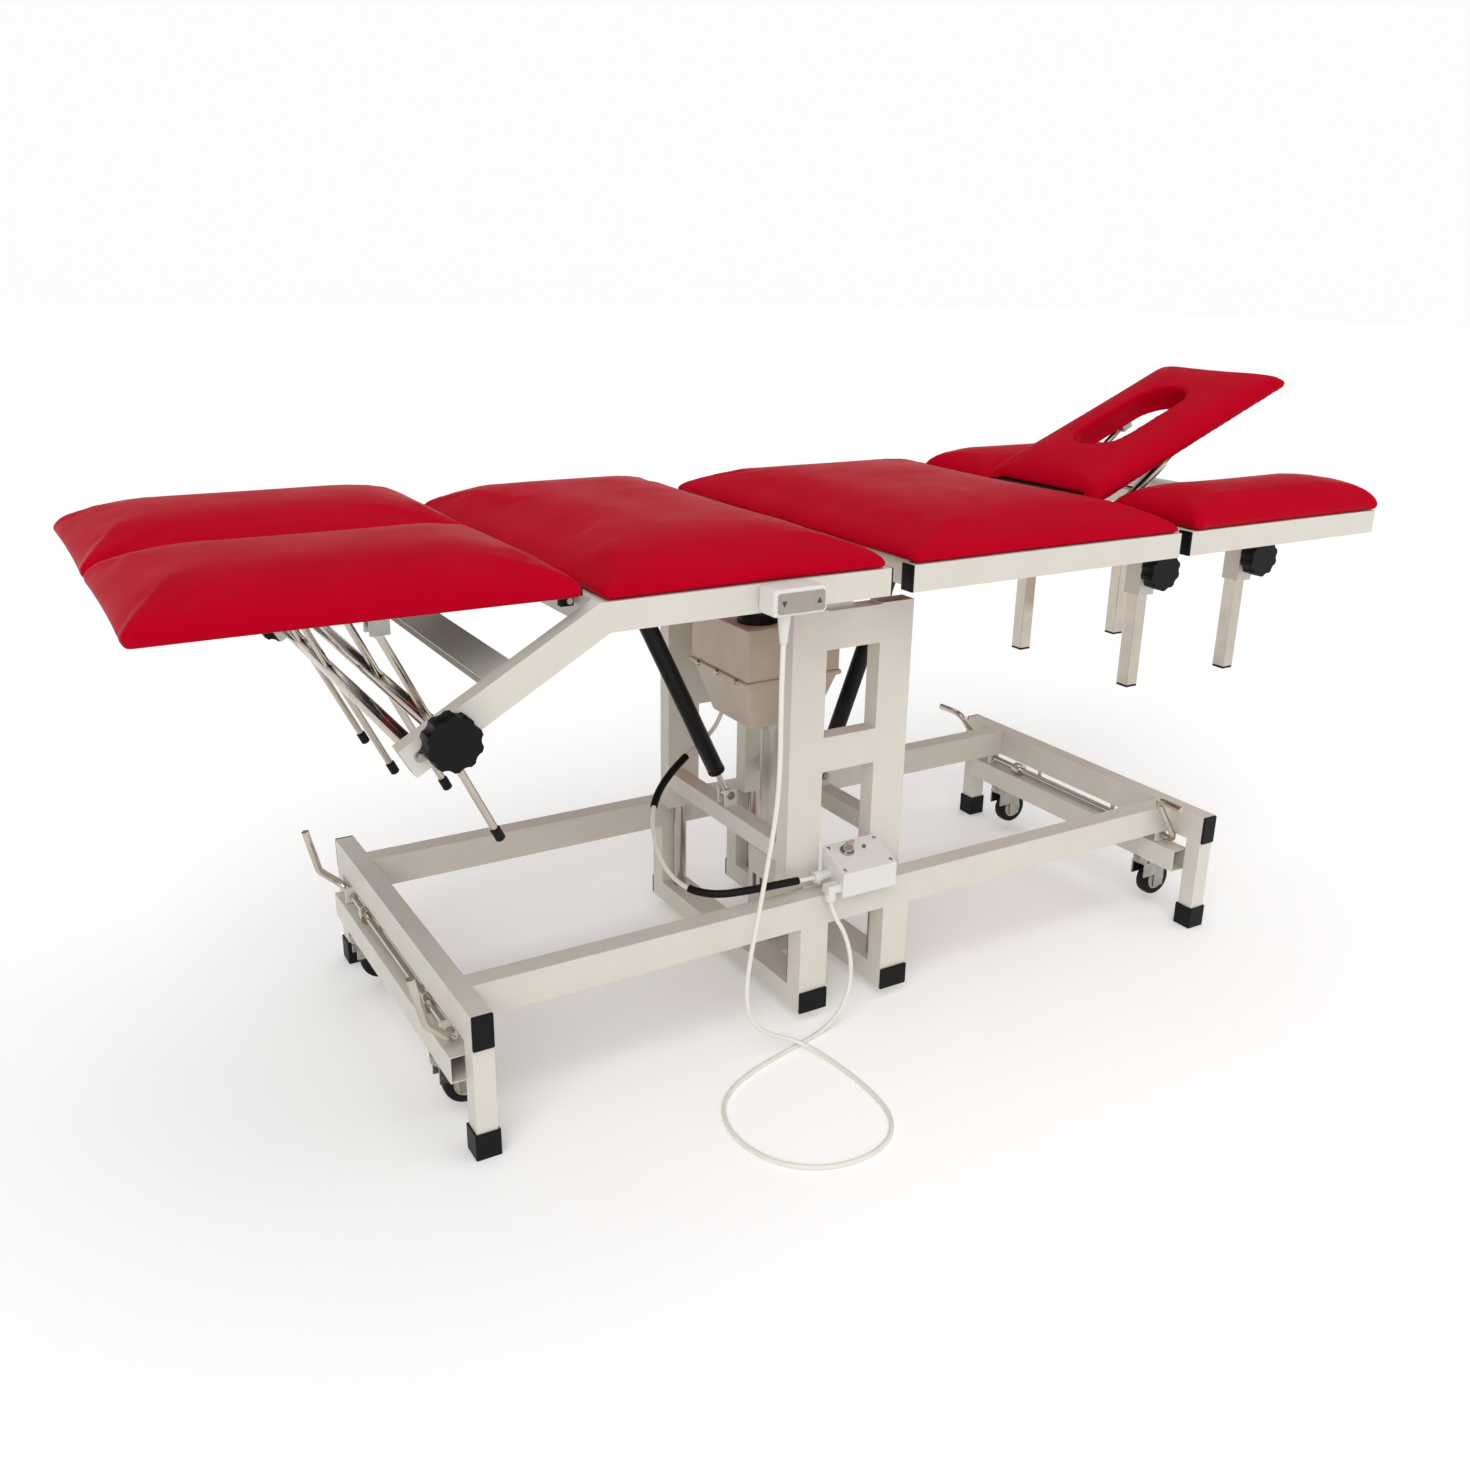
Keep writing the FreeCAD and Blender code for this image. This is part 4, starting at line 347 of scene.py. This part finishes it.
# %% [markdown]
# Each cushion is foam under a stretched cover, flat only where it rests. A modelled block with rounded edges
# would look hard. Here the CAD form is remeshed and blown up gently as cloth, with its underside held, and
# how far a point may move is capped, so the cover looks full but keeps its size.

# %% Swelling a cover
VOXEL = 6 * MM
PRESSURE = 4.0
CLOTH_FRAMES = 20
SWELL_CAP = 5 * MM
TUCK = 0.993
HELD_SLOPE = -0.75
HELD_HEIGHT = 10 * MM
WALL_HEIGHT = 16 * MM
PULLED_UNDER = 5 * MM
# How steep a point may lie, as the height of its normal, and how many rounds of smoothing it then gets
RELAXING = {"edges": (-1.1, 4), "crown": (0.3, 10), "top": (0.94, 150)}


def loose_copy(name, source):
    """A merged copy of a CAD node's mesh, drawn in a little to leave room for the swelling."""
    bm = bmesh.new()
    bm.from_mesh(source.data)
    bmesh.ops.remove_doubles(bm, verts=bm.verts, dist=0.02 * MM)
    low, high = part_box(source.name)
    middle = (low + high) / 2
    shift = Matrix.Translation(middle)
    bmesh.ops.scale(bm, vec=(TUCK, TUCK, TUCK), space=shift.inverted(), verts=bm.verts)
    mesh = bpy.data.meshes.new(name)
    bm.to_mesh(mesh)
    bm.free()
    obj = bpy.data.objects.new(name, mesh)
    bpy.context.scene.collection.objects.link(obj)
    return obj


def settle(obj):
    """Replaces an object's mesh by what its modifiers make of it."""
    depsgraph = bpy.context.evaluated_depsgraph_get()
    mesh = bpy.data.meshes.new_from_object(obj.evaluated_get(depsgraph))
    obj.modifiers.clear()
    obj.data = mesh


def swell(obj, upright):
    """Blows the cover up as cloth, held where it is pulled round its board, and caps each point's travel."""
    rest = [vertex.co.copy() for vertex in obj.data.vertices]
    floor_line = min(point.dot(upright) for point in rest) + HELD_HEIGHT
    held = [vertex.index for vertex in obj.data.vertices
            if vertex.normal.dot(upright) < HELD_SLOPE or vertex.co.dot(upright) < floor_line]
    group = obj.vertex_groups.new(name="held")
    group.add(held, 1.0, "REPLACE")
    cloth = obj.modifiers.new("cover", "CLOTH")
    cloth.settings.vertex_group_mass = "held"
    cloth.settings.use_pressure = True
    cloth.settings.uniform_pressure_force = PRESSURE
    cloth.settings.effector_weights.gravity = 0
    scene = bpy.context.scene
    for number in range(1, CLOTH_FRAMES + 1):
        scene.frame_set(number)
    settle(obj)
    scene.frame_set(1)
    for vertex, start in zip(obj.data.vertices, rest):
        travel = vertex.co - start
        if travel.length > SWELL_CAP:
            vertex.co = start + travel.normalized() * SWELL_CAP


print("cloth frames", CLOTH_FRAMES, "swelling at most", SWELL_CAP, "m")

# %% [markdown]
# Cloth leaves small waves. Smoothing in three rounds takes them away: lightly all over, more on the crown
# and most on the flat top. Last, the foot of the wall is drawn under, as leather is round a board's edge.

# %% Cushions


def pull_under(obj, upright):
    """Draws the lowest part of the cover's wall inwards, as leather is pulled round a board's edge."""
    base = min(vertex.co.dot(upright) for vertex in obj.data.vertices)
    for vertex in obj.data.vertices:
        share = 1 - (vertex.co.dot(upright) - base) / WALL_HEIGHT
        outwards = vertex.normal - upright * vertex.normal.dot(upright)
        if share > 0:
            vertex.co -= outwards * PULLED_UNDER * share ** 2


def cushion(node, body, upright=Vector((0, 0, 1))):
    obj = loose_copy(node + "_cover", nodes[node])
    remesh = obj.modifiers.new("voxels", "REMESH")
    remesh.voxel_size = VOXEL
    settle(obj)
    swell(obj, upright)
    for part, (slope, rounds) in RELAXING.items():
        group = obj.vertex_groups.new(name=part)
        chosen = [vertex.index for vertex in obj.data.vertices if vertex.normal.dot(upright) > slope]
        group.add(chosen, 1.0, "REPLACE")
        relax = obj.modifiers.new(part, "SMOOTH")
        relax.vertex_group = part
        relax.iterations = rounds
        relax.factor = 0.5
    settle(obj)
    pull_under(obj, upright)
    finer = obj.modifiers.new("finer", "SUBSURF")
    finer.levels = 1
    finer.render_levels = 1
    settle(obj)
    obj.data.materials.clear()
    obj.data.materials.append(red_leather)
    for polygon in obj.data.polygons:
        polygon.use_smooth = True
    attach(obj, body)
    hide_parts(node)
    return obj


HEAD_TILT = math.radians(22.5)
head_up = Vector((-math.sin(HEAD_TILT), 0, math.cos(HEAD_TILT)))
covers = [cushion("seat_cushion", "seat"), cushion("back_cushion", "back"),
          cushion("head_cushion", "head", head_up)]
for side in SIDES:
    covers.append(cushion(f"leg_cushion_{side}", f"{side}_leg"))
    covers.append(cushion(f"arm_cushion_{side}", f"{side}_armrest"))
print("cushions:", {obj.name: len(obj.data.polygons) for obj in covers})

# %% [markdown]
# Small pieces are modelled with bmesh operators: blocks from a cube with bevelled edges, and turned shapes
# from a half profile that is spun round its axis. One function places a finished mesh on its body.

# %% Modelling helpers
SHARP_ANGLE = math.radians(35)


def block(bm, low, high, radius):
    """Adds a block between two corners in mm, with rounded edges."""
    low = Vector(low) * MM
    high = Vector(high) * MM
    verts = bmesh.ops.create_cube(bm, size=1.0)["verts"]
    bmesh.ops.scale(bm, vec=high - low, verts=verts)
    bmesh.ops.translate(bm, vec=(low + high) / 2, verts=verts)
    edges = list(dict.fromkeys(edge for vert in verts for edge in vert.link_edges))
    bmesh.ops.bevel(bm, geom=edges, offset=radius * MM, offset_type="OFFSET", segments=3, profile=0.5,
                    affect="EDGES", material=-1)


def turned(bm, profile, foot, axis, steps=32):
    """Adds a turned shape: a profile of radius and height in mm, spun about an axis from its foot in mm."""
    part = bmesh.new()
    verts = [part.verts.new((radius * MM, 0, height * MM)) for radius, height in profile]
    edges = [part.edges.new(pair) for pair in zip(verts, verts[1:])]
    bmesh.ops.spin(part, geom=verts + edges, axis=(0, 0, 1), cent=(0, 0, 0), steps=steps, angle=math.tau,
                   use_merge=True)
    bmesh.ops.remove_doubles(part, verts=part.verts, dist=0.005 * MM)
    bmesh.ops.recalc_face_normals(part, faces=part.faces)
    stand = Vector(axis).to_track_quat("Z", "Y").to_matrix().to_4x4()
    bmesh.ops.transform(part, matrix=Matrix.Translation(Vector(foot) * MM) @ stand, verts=part.verts)
    mesh = bpy.data.meshes.new("turned")
    part.to_mesh(mesh)
    part.free()
    bm.from_mesh(mesh)
    bpy.data.meshes.remove(mesh)


def place(name, bm, material, body, slot=None):
    """Makes a piece of the finished mesh and lets it ride on a body."""
    mesh = bpy.data.meshes.new(name)
    bm.to_mesh(mesh)
    bm.free()
    mesh.materials.append(material)
    for polygon in mesh.polygons:
        polygon.use_smooth = True
    mesh.set_sharp_from_angle(angle=SHARP_ANGLE)
    obj = bpy.data.objects.new(name, mesh)
    bpy.context.scene.collection.objects.link(obj)
    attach(obj, body)
    return obj


print("modelling helpers ready")

# %% [markdown]
# A castor wheel is a rubber tread on a plastic hub with a steel axle through it. Its section is turned: a
# rounded tread, a step down to the hub and a dished face.

# %% Castor wheels
TYRE = ((20, -11), (28, -11), (31, -9), (32, -5), (32, 5), (31, 9), (28, 11), (20, 11), (20, -11))
HUB = ((4.2, -12), (9, -12), (11, -9), (17, -8), (19.9, -10.5), (19.9, 10.5), (17, 8), (11, 9), (9, 12),
       (4.2, 12), (4.2, -12))
for end in ENDS:
    for side in SIDES:
        node = f"castor_wheel_{end}_{side}"
        low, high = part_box(node)
        centre = (low + high) / 2 / MM
        body = f"{end}_{side}_wheel"
        tread = bmesh.new()
        turned(tread, TYRE, centre, (0, 1, 0), steps=48)
        tyre = place(f"{node}_tyre", tread, tread_rubber, body, "castor_rubber")
        rim = bmesh.new()
        turned(rim, HUB, centre, (0, 1, 0), steps=48)
        place(f"{node}_hub", rim, moulded_grey, body, "castor_rubber")
        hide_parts(node)
print("castor wheels dressed")

# %% [markdown]
# Open tube ends are closed by black moulded plugs, and each thin strut has a black cap. Their places are
# those of the frame's own tubes and rods, in millimetres.

# %% Tube plugs and strut caps
PLUG_PROUD = 3
PLUG_EDGE = 0.8
RAIL_INNER = 318
RAIL_OUTER = 343
RAIL_LOW = 702
RAIL_HIGH = 740
RAIL_ENDS = {"seat_frame": ("seat", -44, 1), "back_frame": ("back", -5, -1)}
for node, (body, end_x, way) in RAIL_ENDS.items():
    bm = bmesh.new()
    for sign in SIDES.values():
        across = sorted((sign * RAIL_INNER, sign * RAIL_OUTER))
        along = sorted((end_x, end_x + way * PLUG_PROUD))
        block(bm, (along[0], across[0], RAIL_LOW), (along[1], across[1], RAIL_HIGH), PLUG_EDGE)
    place(f"{node}_plugs", bm, moulded_black, body, "black_plastic")

ARM_INNER = (159.8, 184.8)
ARM_LEFT = 540
for side, sign in SIDES.items():
    bm = bmesh.new()
    for inner, outer in (ARM_INNER, (RAIL_INNER, RAIL_OUTER)):
        across = sorted((sign * inner, sign * outer))
        block(bm, (ARM_LEFT - PLUG_PROUD, across[0], RAIL_LOW), (ARM_LEFT, across[1], RAIL_HIGH), PLUG_EDGE)
    place(f"armrest_plugs_{side}", bm, moulded_black, f"{side}_armrest", "black_plastic")

POST_PLACES = (658, 911)
POST_ROW = 139
POST_FOOT = 422
POST_PLUG_EDGE = 1.0
# Half the width of a plug's plate and of its stem, and how far each reaches below and above the post's end
PLUG_PARTS = ((12.5, -4, 0), (10.3, -1, 14))
bm = bmesh.new()
for post_x in POST_PLACES:
    for sign in SIDES.values():
        row = sign * POST_ROW
        for half, below, above in PLUG_PARTS:
            block(bm, (post_x - half, row - half, POST_FOOT + below),
                  (post_x + half, row + half, POST_FOOT + above), POST_PLUG_EDGE)
place("armrest_post_plugs", bm, moulded_black, "back", "black_plastic")

STRUT_LEAN = math.radians(25.6)
strut_up = Vector((-math.sin(STRUT_LEAN), 0, math.cos(STRUT_LEAN)))
STRUT_PIVOTS = {"near": Vector((-672.8, 0, 604.7)), "far": Vector((-704.1, 0, 586.9))}
STRUT_ROWS = {"near": (-295, -100), "far": (38, 185)}
CAP_DROP = 179.5
CAP = ((0, -1.5), (5, -1.5), (6.6, 0), (6.6, 16), (5.6, 17), (5.1, 17))
for side, pivot in STRUT_PIVOTS.items():
    bm = bmesh.new()
    for row in STRUT_ROWS[side]:
        foot = pivot + Vector((0, row, 0)) - strut_up * CAP_DROP
        turned(bm, CAP, foot, strut_up, steps=24)
    place(f"leg_strut_caps_{side}", bm, moulded_black, f"{side}_struts", "black_plastic")
print("plugs and caps placed")

# %% [markdown]
# The struts of the leg halves hang from bright steel brackets: two cheeks and a foot under the board. They
# could be part of the boards' finish, but the boards are black, so thin sleeves cover the boards' own lugs.

# %% Strut brackets
CHEEK_HALF = 11.7
FOOT_HALF = 17
FOOT_THICK = 2.4
BRACKET_EDGE = 0.6


def bracket(bm, along, row, cheeks, foot_across, low, high):
    """Two cheeks beside a pivot and a foot above them: places in mm along, across and in height."""
    for hand in SIDES.values():
        across = sorted((row + hand * cheeks[0], row + hand * cheeks[1]))
        block(bm, (along - CHEEK_HALF, across[0], low), (along + CHEEK_HALF, across[1], high), BRACKET_EDGE)
    block(bm, (along - FOOT_HALF, row - foot_across, high - FOOT_THICK),
          (along + FOOT_HALF, row + foot_across, high), BRACKET_EDGE)


EYE_PLACES = {"near": -730.0, "far": -769.8}
LEG_CHEEKS = (8.4, 13.6)
LEG_FOOT_ACROSS = 17
LEG_LUG_END = 723.4
LEG_UNDERSIDE = 748
for side, eye_x in EYE_PLACES.items():
    bm = bmesh.new()
    for row in STRUT_ROWS[side]:
        bracket(bm, eye_x, row, LEG_CHEEKS, LEG_FOOT_ACROSS, LEG_LUG_END, LEG_UNDERSIDE)
    place(f"leg_strut_brackets_{side}", bm, zinc_steel, f"{side}_leg", "bright_steel")
print("strut brackets placed")

# %% [markdown]
# The head's board has the same kind of brackets for its props, and its face opening is lined with leather
# that is wrapped round the board's edge. The ring starts from a capped circle that is pulled apart into a
# slot, inset and extruded. Both are made flat and then turned up with the head.

# %% Head fittings
HEAD_HINGE = Vector((527, 0, 735))
head_place = Matrix.Translation(HEAD_HINGE * MM) @ Matrix.Rotation(-HEAD_TILT, 4, "Y")
PROP_ALONG = 300
PROP_ROW = 79
HEAD_CHEEKS = (10.4, 15.6)
HEAD_FOOT_ACROSS = 15.8
HEAD_LUG_END = -8.6
HEAD_UNDERSIDE = 8
bm = bmesh.new()
for sign in SIDES.values():
    bracket(bm, PROP_ALONG, sign * PROP_ROW, HEAD_CHEEKS, HEAD_FOOT_ACROSS, HEAD_LUG_END, HEAD_UNDERSIDE)
bmesh.ops.transform(bm, matrix=head_place, verts=bm.verts)
place("head_prop_brackets", bm, zinc_steel, "head", "bright_steel")

SLOT_MIDDLE = 251
SLOT_REACH = 64
LINING_OUTER = 61.6
LINING_WALL = 7.4
LINING_HEIGHTS = (6.5, 26)
bm = bmesh.new()
bmesh.ops.create_circle(bm, cap_ends=True, segments=64, radius=LINING_OUTER * MM)
for vert in bm.verts:
    if abs(vert.co.x) > 0.01 * MM:
        vert.co.x += math.copysign(SLOT_REACH * MM, vert.co.x)
bmesh.ops.translate(bm, vec=(SLOT_MIDDLE * MM, 0, LINING_HEIGHTS[0] * MM), verts=bm.verts)
middle_face = list(bm.faces)
ring = bmesh.ops.inset_region(bm, faces=middle_face, thickness=LINING_WALL * MM, use_boundary=True,
                              use_even_offset=True)["faces"]
bmesh.ops.delete(bm, geom=middle_face, context="FACES")
raised = bmesh.ops.extrude_face_region(bm, geom=ring)["geom"]
tops = [part for part in raised if isinstance(part, bmesh.types.BMVert)]
bmesh.ops.translate(bm, vec=(0, 0, (LINING_HEIGHTS[1] - LINING_HEIGHTS[0]) * MM), verts=tops)
bmesh.ops.recalc_face_normals(bm, faces=bm.faces)
bmesh.ops.transform(bm, matrix=head_place, verts=bm.verts)
place("face_hole_lining", bm, red_leather, "head", "red_cover")
print("head fittings placed")

# %% [markdown]
# The hand control is a rounded white case with a grey film panel and two push areas marked by arrows. The
# panel could be a change of colour. Here it is a thin plate with rounded corners on the case's face, which
# catches the light along its edge, and the arrows are flat triangles on the buttons.

# %% Hand control
FACE_Y = -384
FACE_MIDDLE = 721.5
PANEL = ((-251.5, -180), (708, 735))
PANEL_STANDOFF = 0.2
PANEL_CORNER = 4
PANEL_THICK = 0.4
bm = bmesh.new()
verts = bmesh.ops.create_grid(bm, x_segments=1, y_segments=1, size=0.5)["verts"]
for vert in verts:
    x = PANEL[0][0] if vert.co.x < 0 else PANEL[0][1]
    z = PANEL[1][0] if vert.co.y < 0 else PANEL[1][1]
    vert.co = Vector((x, FACE_Y - PANEL_STANDOFF, z)) * MM
bmesh.ops.bevel(bm, geom=list(bm.verts), offset=PANEL_CORNER * MM, offset_type="OFFSET", segments=4,
                profile=0.5, affect="VERTICES", material=-1)
sheet = bmesh.ops.extrude_face_region(bm, geom=list(bm.faces))["geom"]
front = [part for part in sheet if isinstance(part, bmesh.types.BMVert)]
bmesh.ops.translate(bm, vec=(0, -PANEL_THICK * MM, 0), verts=front)
bmesh.ops.recalc_face_normals(bm, faces=bm.faces)
place("hand_control_panel", bm, panel_film, "seat", "grey_plastic")

ARROW = ((-4, -3.5), (4, -3.5), (0, 4.5))
ARROW_STANDOFF = 1.15
ARROW_THICK = 0.15
for name, centre_x, way in (("up", -189, 1), ("down", -242, -1)):
    bm = bmesh.new()
    corners = [bm.verts.new(Vector((centre_x + x, FACE_Y - ARROW_STANDOFF, FACE_MIDDLE + way * z)) * MM)
               for x, z in ARROW]
    face = bm.faces.new(corners)
    raised = bmesh.ops.extrude_face_region(bm, geom=[face])["geom"]
    tops = [part for part in raised if isinstance(part, bmesh.types.BMVert)]
    bmesh.ops.translate(bm, vec=(0, -ARROW_THICK * MM, 0), verts=tops)
    bmesh.ops.recalc_face_normals(bm, faces=bm.faces)
    place(f"{name}_arrow", bm, dark_mark, f"{name}_push", "button_plastic")
print("hand control dressed")

# %% [markdown]
# The control box has a sloping lid held by screws, a small lamp, a key switch with a plated collar, and
# ribbed cable glands where the cords go in.

# %% Control box fittings
LID_RISE = 25
LID_RUN = 59
LID_FRONT = -268
LID_LOW = 255
LID_TILT = math.atan2(LID_RISE, LID_RUN)
lid_normal = Vector((0, -math.sin(LID_TILT), math.cos(LID_TILT)))


def on_lid(x, y):
    """A point on the sloping lid, in mm."""
    return Vector((x, y, LID_LOW + (y - LID_FRONT) * LID_RISE / LID_RUN))


SCREW = ((0, 1.4), (2.2, 1.4), (3.2, 0.6), (3.4, -0.4))
bm = bmesh.new()
for x in (-38, 48):
    for y in (-261, -216):
        turned(bm, SCREW, on_lid(x, y), lid_normal, steps=20)
place("control_lid_screws", bm, zinc_steel, "base", "bright_steel")

KEY_PLACE = on_lid(-12, -228)
COLLAR = ((8.2, -0.4), (11, -0.4), (11.5, 1.6), (10.5, 3.2), (8.4, 3.4))
bm = bmesh.new()
turned(bm, COLLAR, KEY_PLACE, lid_normal, steps=40)
place("key_collar", bm, zinc_steel, "base", "bright_steel")

LAMP_PLACE = on_lid(20, -228)
LENS = ((0, 4.6), (1.6, 4.3), (2.9, 3.2), (3.3, 1.6), (3.3, -0.3))
bm = bmesh.new()
turned(bm, LENS, LAMP_PLACE, lid_normal, steps=24)
place("status_lamp_lens", bm, lamp_lens, "base", "grey_plastic")

GLAND = ((4.2, 0), (8.4, 0), (9.2, 1.2), (9.2, 5), (8.4, 6), (9.2, 7), (9.2, 11), (8.4, 12), (8.4, 14))
GLAND_PLACES = (((-60, -256, 211.4), (0, 0, 1)), ((-71.6, -228, 240), (1, 0, 0)))
bm = bmesh.new()
for foot, axis in GLAND_PLACES:
    turned(bm, GLAND, foot, axis, steps=28)
place("cable_glands", bm, moulded_white, "base", "grey_plastic")
print("control box dressed")

# %% [markdown]
# The motor box is two moulded halves screwed together round a lip. The screws' heads along the lip are
# turned, and so is the black cap that covers the motor's end above it.

# %% Motor box fittings
LIP_SCREW = ((0, 3), (3.5, 2.6), (4.6, 1), (4.8, -1))
LIP_HEIGHT = 513
bm = bmesh.new()
for x, way in ((-115.6, -1), (63.6, 1)):
    for y in (-60, 0, 60):
        turned(bm, LIP_SCREW, (x, y, LIP_HEIGHT), (way, 0, 0), steps=20)
place("motor_box_screws", bm, zinc_steel, "tower", "bright_steel")

MOTOR_CAP = ((0, 20), (24, 19), (30, 15), (32, 8), (32, 0))
MOTOR_TOP = (-66, -40, 599.5)
bm = bmesh.new()
turned(bm, MOTOR_CAP, MOTOR_TOP, (0, 0, 1), steps=40)
place("motor_end_cap", bm, moulded_black, "tower", "black_plastic")
print("motor box dressed")

# %% [markdown]
# Pivots show as bolt heads with washers. Each is turned, and making the head with six steps gives it six
# flats. The gas springs' pivots are listed by their feet on the tower and their tops under the frames.

# %% Pivot bolts
SPRINGS = {"seat": (Vector((-93, 0, 303)), Vector((-276, 0, 684))),
           "back": (Vector((93, 0, 303)), Vector((235, 0, 684)))}
HEAD = ((0, 5), (6.2, 5), (7, 4.2), (7, 0))
WASHER_THICK = 1.4
WASHER = ((0, WASHER_THICK), (9.5, WASHER_THICK), (10, 0.9), (10, -0.2))
SMALL_BOLT = 0.7
STRUT_BOLT = 0.8
# Where the bolt heads sit across the table, from its middle
HINGE_REACH = 184
SPRING_FOOT_REACH = 13
SPRING_TOP_REACH = 15
HEAD_REACH = 52
HINGE_PLACES = (-40, -8)
HINGE_HEIGHT = 722


def bolt(bm, foot, axis, scale=1.0):
    """A six-sided bolt head on a washer, with its foot in mm."""
    axis = Vector(axis)
    foot = Vector(foot)
    turned(bm, [(radius * scale, height * scale) for radius, height in WASHER], foot, axis, steps=28)
    turned(bm, [(radius * scale, height * scale) for radius, height in HEAD],
           foot + axis * WASHER_THICK * scale, axis, steps=6)


bm = bmesh.new()
for sign in SIDES.values():
    for x in HINGE_PLACES:
        bolt(bm, (x, sign * HINGE_REACH, HINGE_HEIGHT), (0, -sign, 0))
for foot, _ in SPRINGS.values():
    for sign in SIDES.values():
        bolt(bm, foot + Vector((0, sign * SPRING_FOOT_REACH, 0)), (0, sign, 0), SMALL_BOLT)
place("tower_bolts", bm, zinc_steel, "tower", "bright_steel")

bm = bmesh.new()
for side, sign in (("far", -1), ("near", 1)):
    bolt(bm, STRUT_PIVOTS[side] + Vector((0, sign * RAIL_OUTER, 0)), (0, sign, 0), STRUT_BOLT)
for sign in SIDES.values():
    bolt(bm, SPRINGS["seat"][1] + Vector((0, sign * SPRING_TOP_REACH, 0)), (0, sign, 0), SMALL_BOLT)
place("seat_bolts", bm, zinc_steel, "seat", "bright_steel")

bm = bmesh.new()
for sign in SIDES.values():
    bolt(bm, SPRINGS["back"][1] + Vector((0, sign * SPRING_TOP_REACH, 0)), (0, sign, 0), SMALL_BOLT)
    bolt(bm, HEAD_HINGE + Vector((0, sign * HEAD_REACH, 0)), (0, -sign, 0), SMALL_BOLT)
place("back_bolts", bm, zinc_steel, "back", "bright_steel")
print("pivot bolts placed")

# %% [markdown]
# A gas spring's barrel ends in a rolled collar where the bright rod slides in. The collar is a turned ring
# on the barrel's lower end.

# %% Gas spring collars
COLLAR_ALONG = 46
RING = ((5.3, -2), (11, -2), (14.4, 1), (14.6, 4), (14.1, 7), (14.0, 9))
for name, (foot, top) in SPRINGS.items():
    along = (top - foot).normalized()
    bm = bmesh.new()
    turned(bm, RING, foot + along * COLLAR_ALONG, along, steps=36)
    place(f"{name}_spring_collar", bm, moulded_black, f"{name}_spring_upper", "black_paint")
print("gas springs dressed")

# %% [markdown]
# A plain pale floor and soft studio light. Broad, even lamps stand far off: a key from the front left, a
# fill from the right and one overhead, so the floor is lit alike up to its edge. The surround is white
# up to a little above the horizon and dimmer overhead, as in a photographer's cove. The floor glows
# faintly, as a sheet that is lit from below does, so that it stays as white as its surround.
# The dim ceiling keeps the red covers deep, and gives bare steel something dark to reflect.

# %% Floor and light
FLOOR_GLOW = 0.12
FLOOR_HALF = 30
floor_mesh = bmesh.new()
bmesh.ops.create_grid(floor_mesh, x_segments=1, y_segments=1, size=FLOOR_HALF)
floor_data = bpy.data.meshes.new("floor")
floor_mesh.to_mesh(floor_data)
floor_mesh.free()
floor = bpy.data.objects.new("floor", floor_data)
floor_data.materials.append(finish("pale_floor", "fbfbfa", "f8f8f7", 0.7, 0.02, 400, 30, 0.01,
                                    Emission_Color=linear("ffffff"), Emission_Strength=FLOOR_GLOW))
bpy.context.scene.collection.objects.link(floor)

COVE_TOP = math.radians(10.5)
CEILING = math.radians(13.5)
CEILING_TONE = 0.3
LAMPS = (("key_light", (-2.6, -3.4, 3.6), 50, 1.5), ("fill_light", (3.4, -2.6, 2.6), 60, 0.4),
         ("top_light", (0.3, 0.6, 4.0), 70, 0.95))
for name, spot, spread, power in LAMPS:
    light = bpy.data.lights.new(name, "SUN")
    light.angle = math.radians(spread)
    light.energy = power
    lamp = bpy.data.objects.new(name, light)
    lamp.location = spot
    lamp.rotation_mode = "QUATERNION"
    lamp.rotation_quaternion = Vector(spot).to_track_quat("Z", "Y")
    bpy.context.scene.collection.objects.link(lamp)
world = bpy.data.worlds.new("studio")
world.use_nodes = True
surround = world.node_tree.nodes["Background"]
surround.inputs["Color"].default_value = linear("fdfdfd")
sky_way = add_node(world, "ShaderNodeTexCoord", {}, {}).outputs["Generated"]
sky_height = add_node(world, "ShaderNodeSeparateXYZ", {}, {"Vector": sky_way}).outputs["Z"]
cove = add_node(world, "ShaderNodeMapRange", {},
                {"Value": sky_height, "From Min": math.sin(COVE_TOP), "From Max": math.sin(CEILING),
                 "To Min": 1.0, "To Max": CEILING_TONE})
world.node_tree.links.new(cove.outputs["Result"], surround.inputs["Strength"])
bpy.context.scene.world = world
bpy.context.scene.view_settings.view_transform = "Standard"
print("lights:", [name for name, _, _, _ in LAMPS])
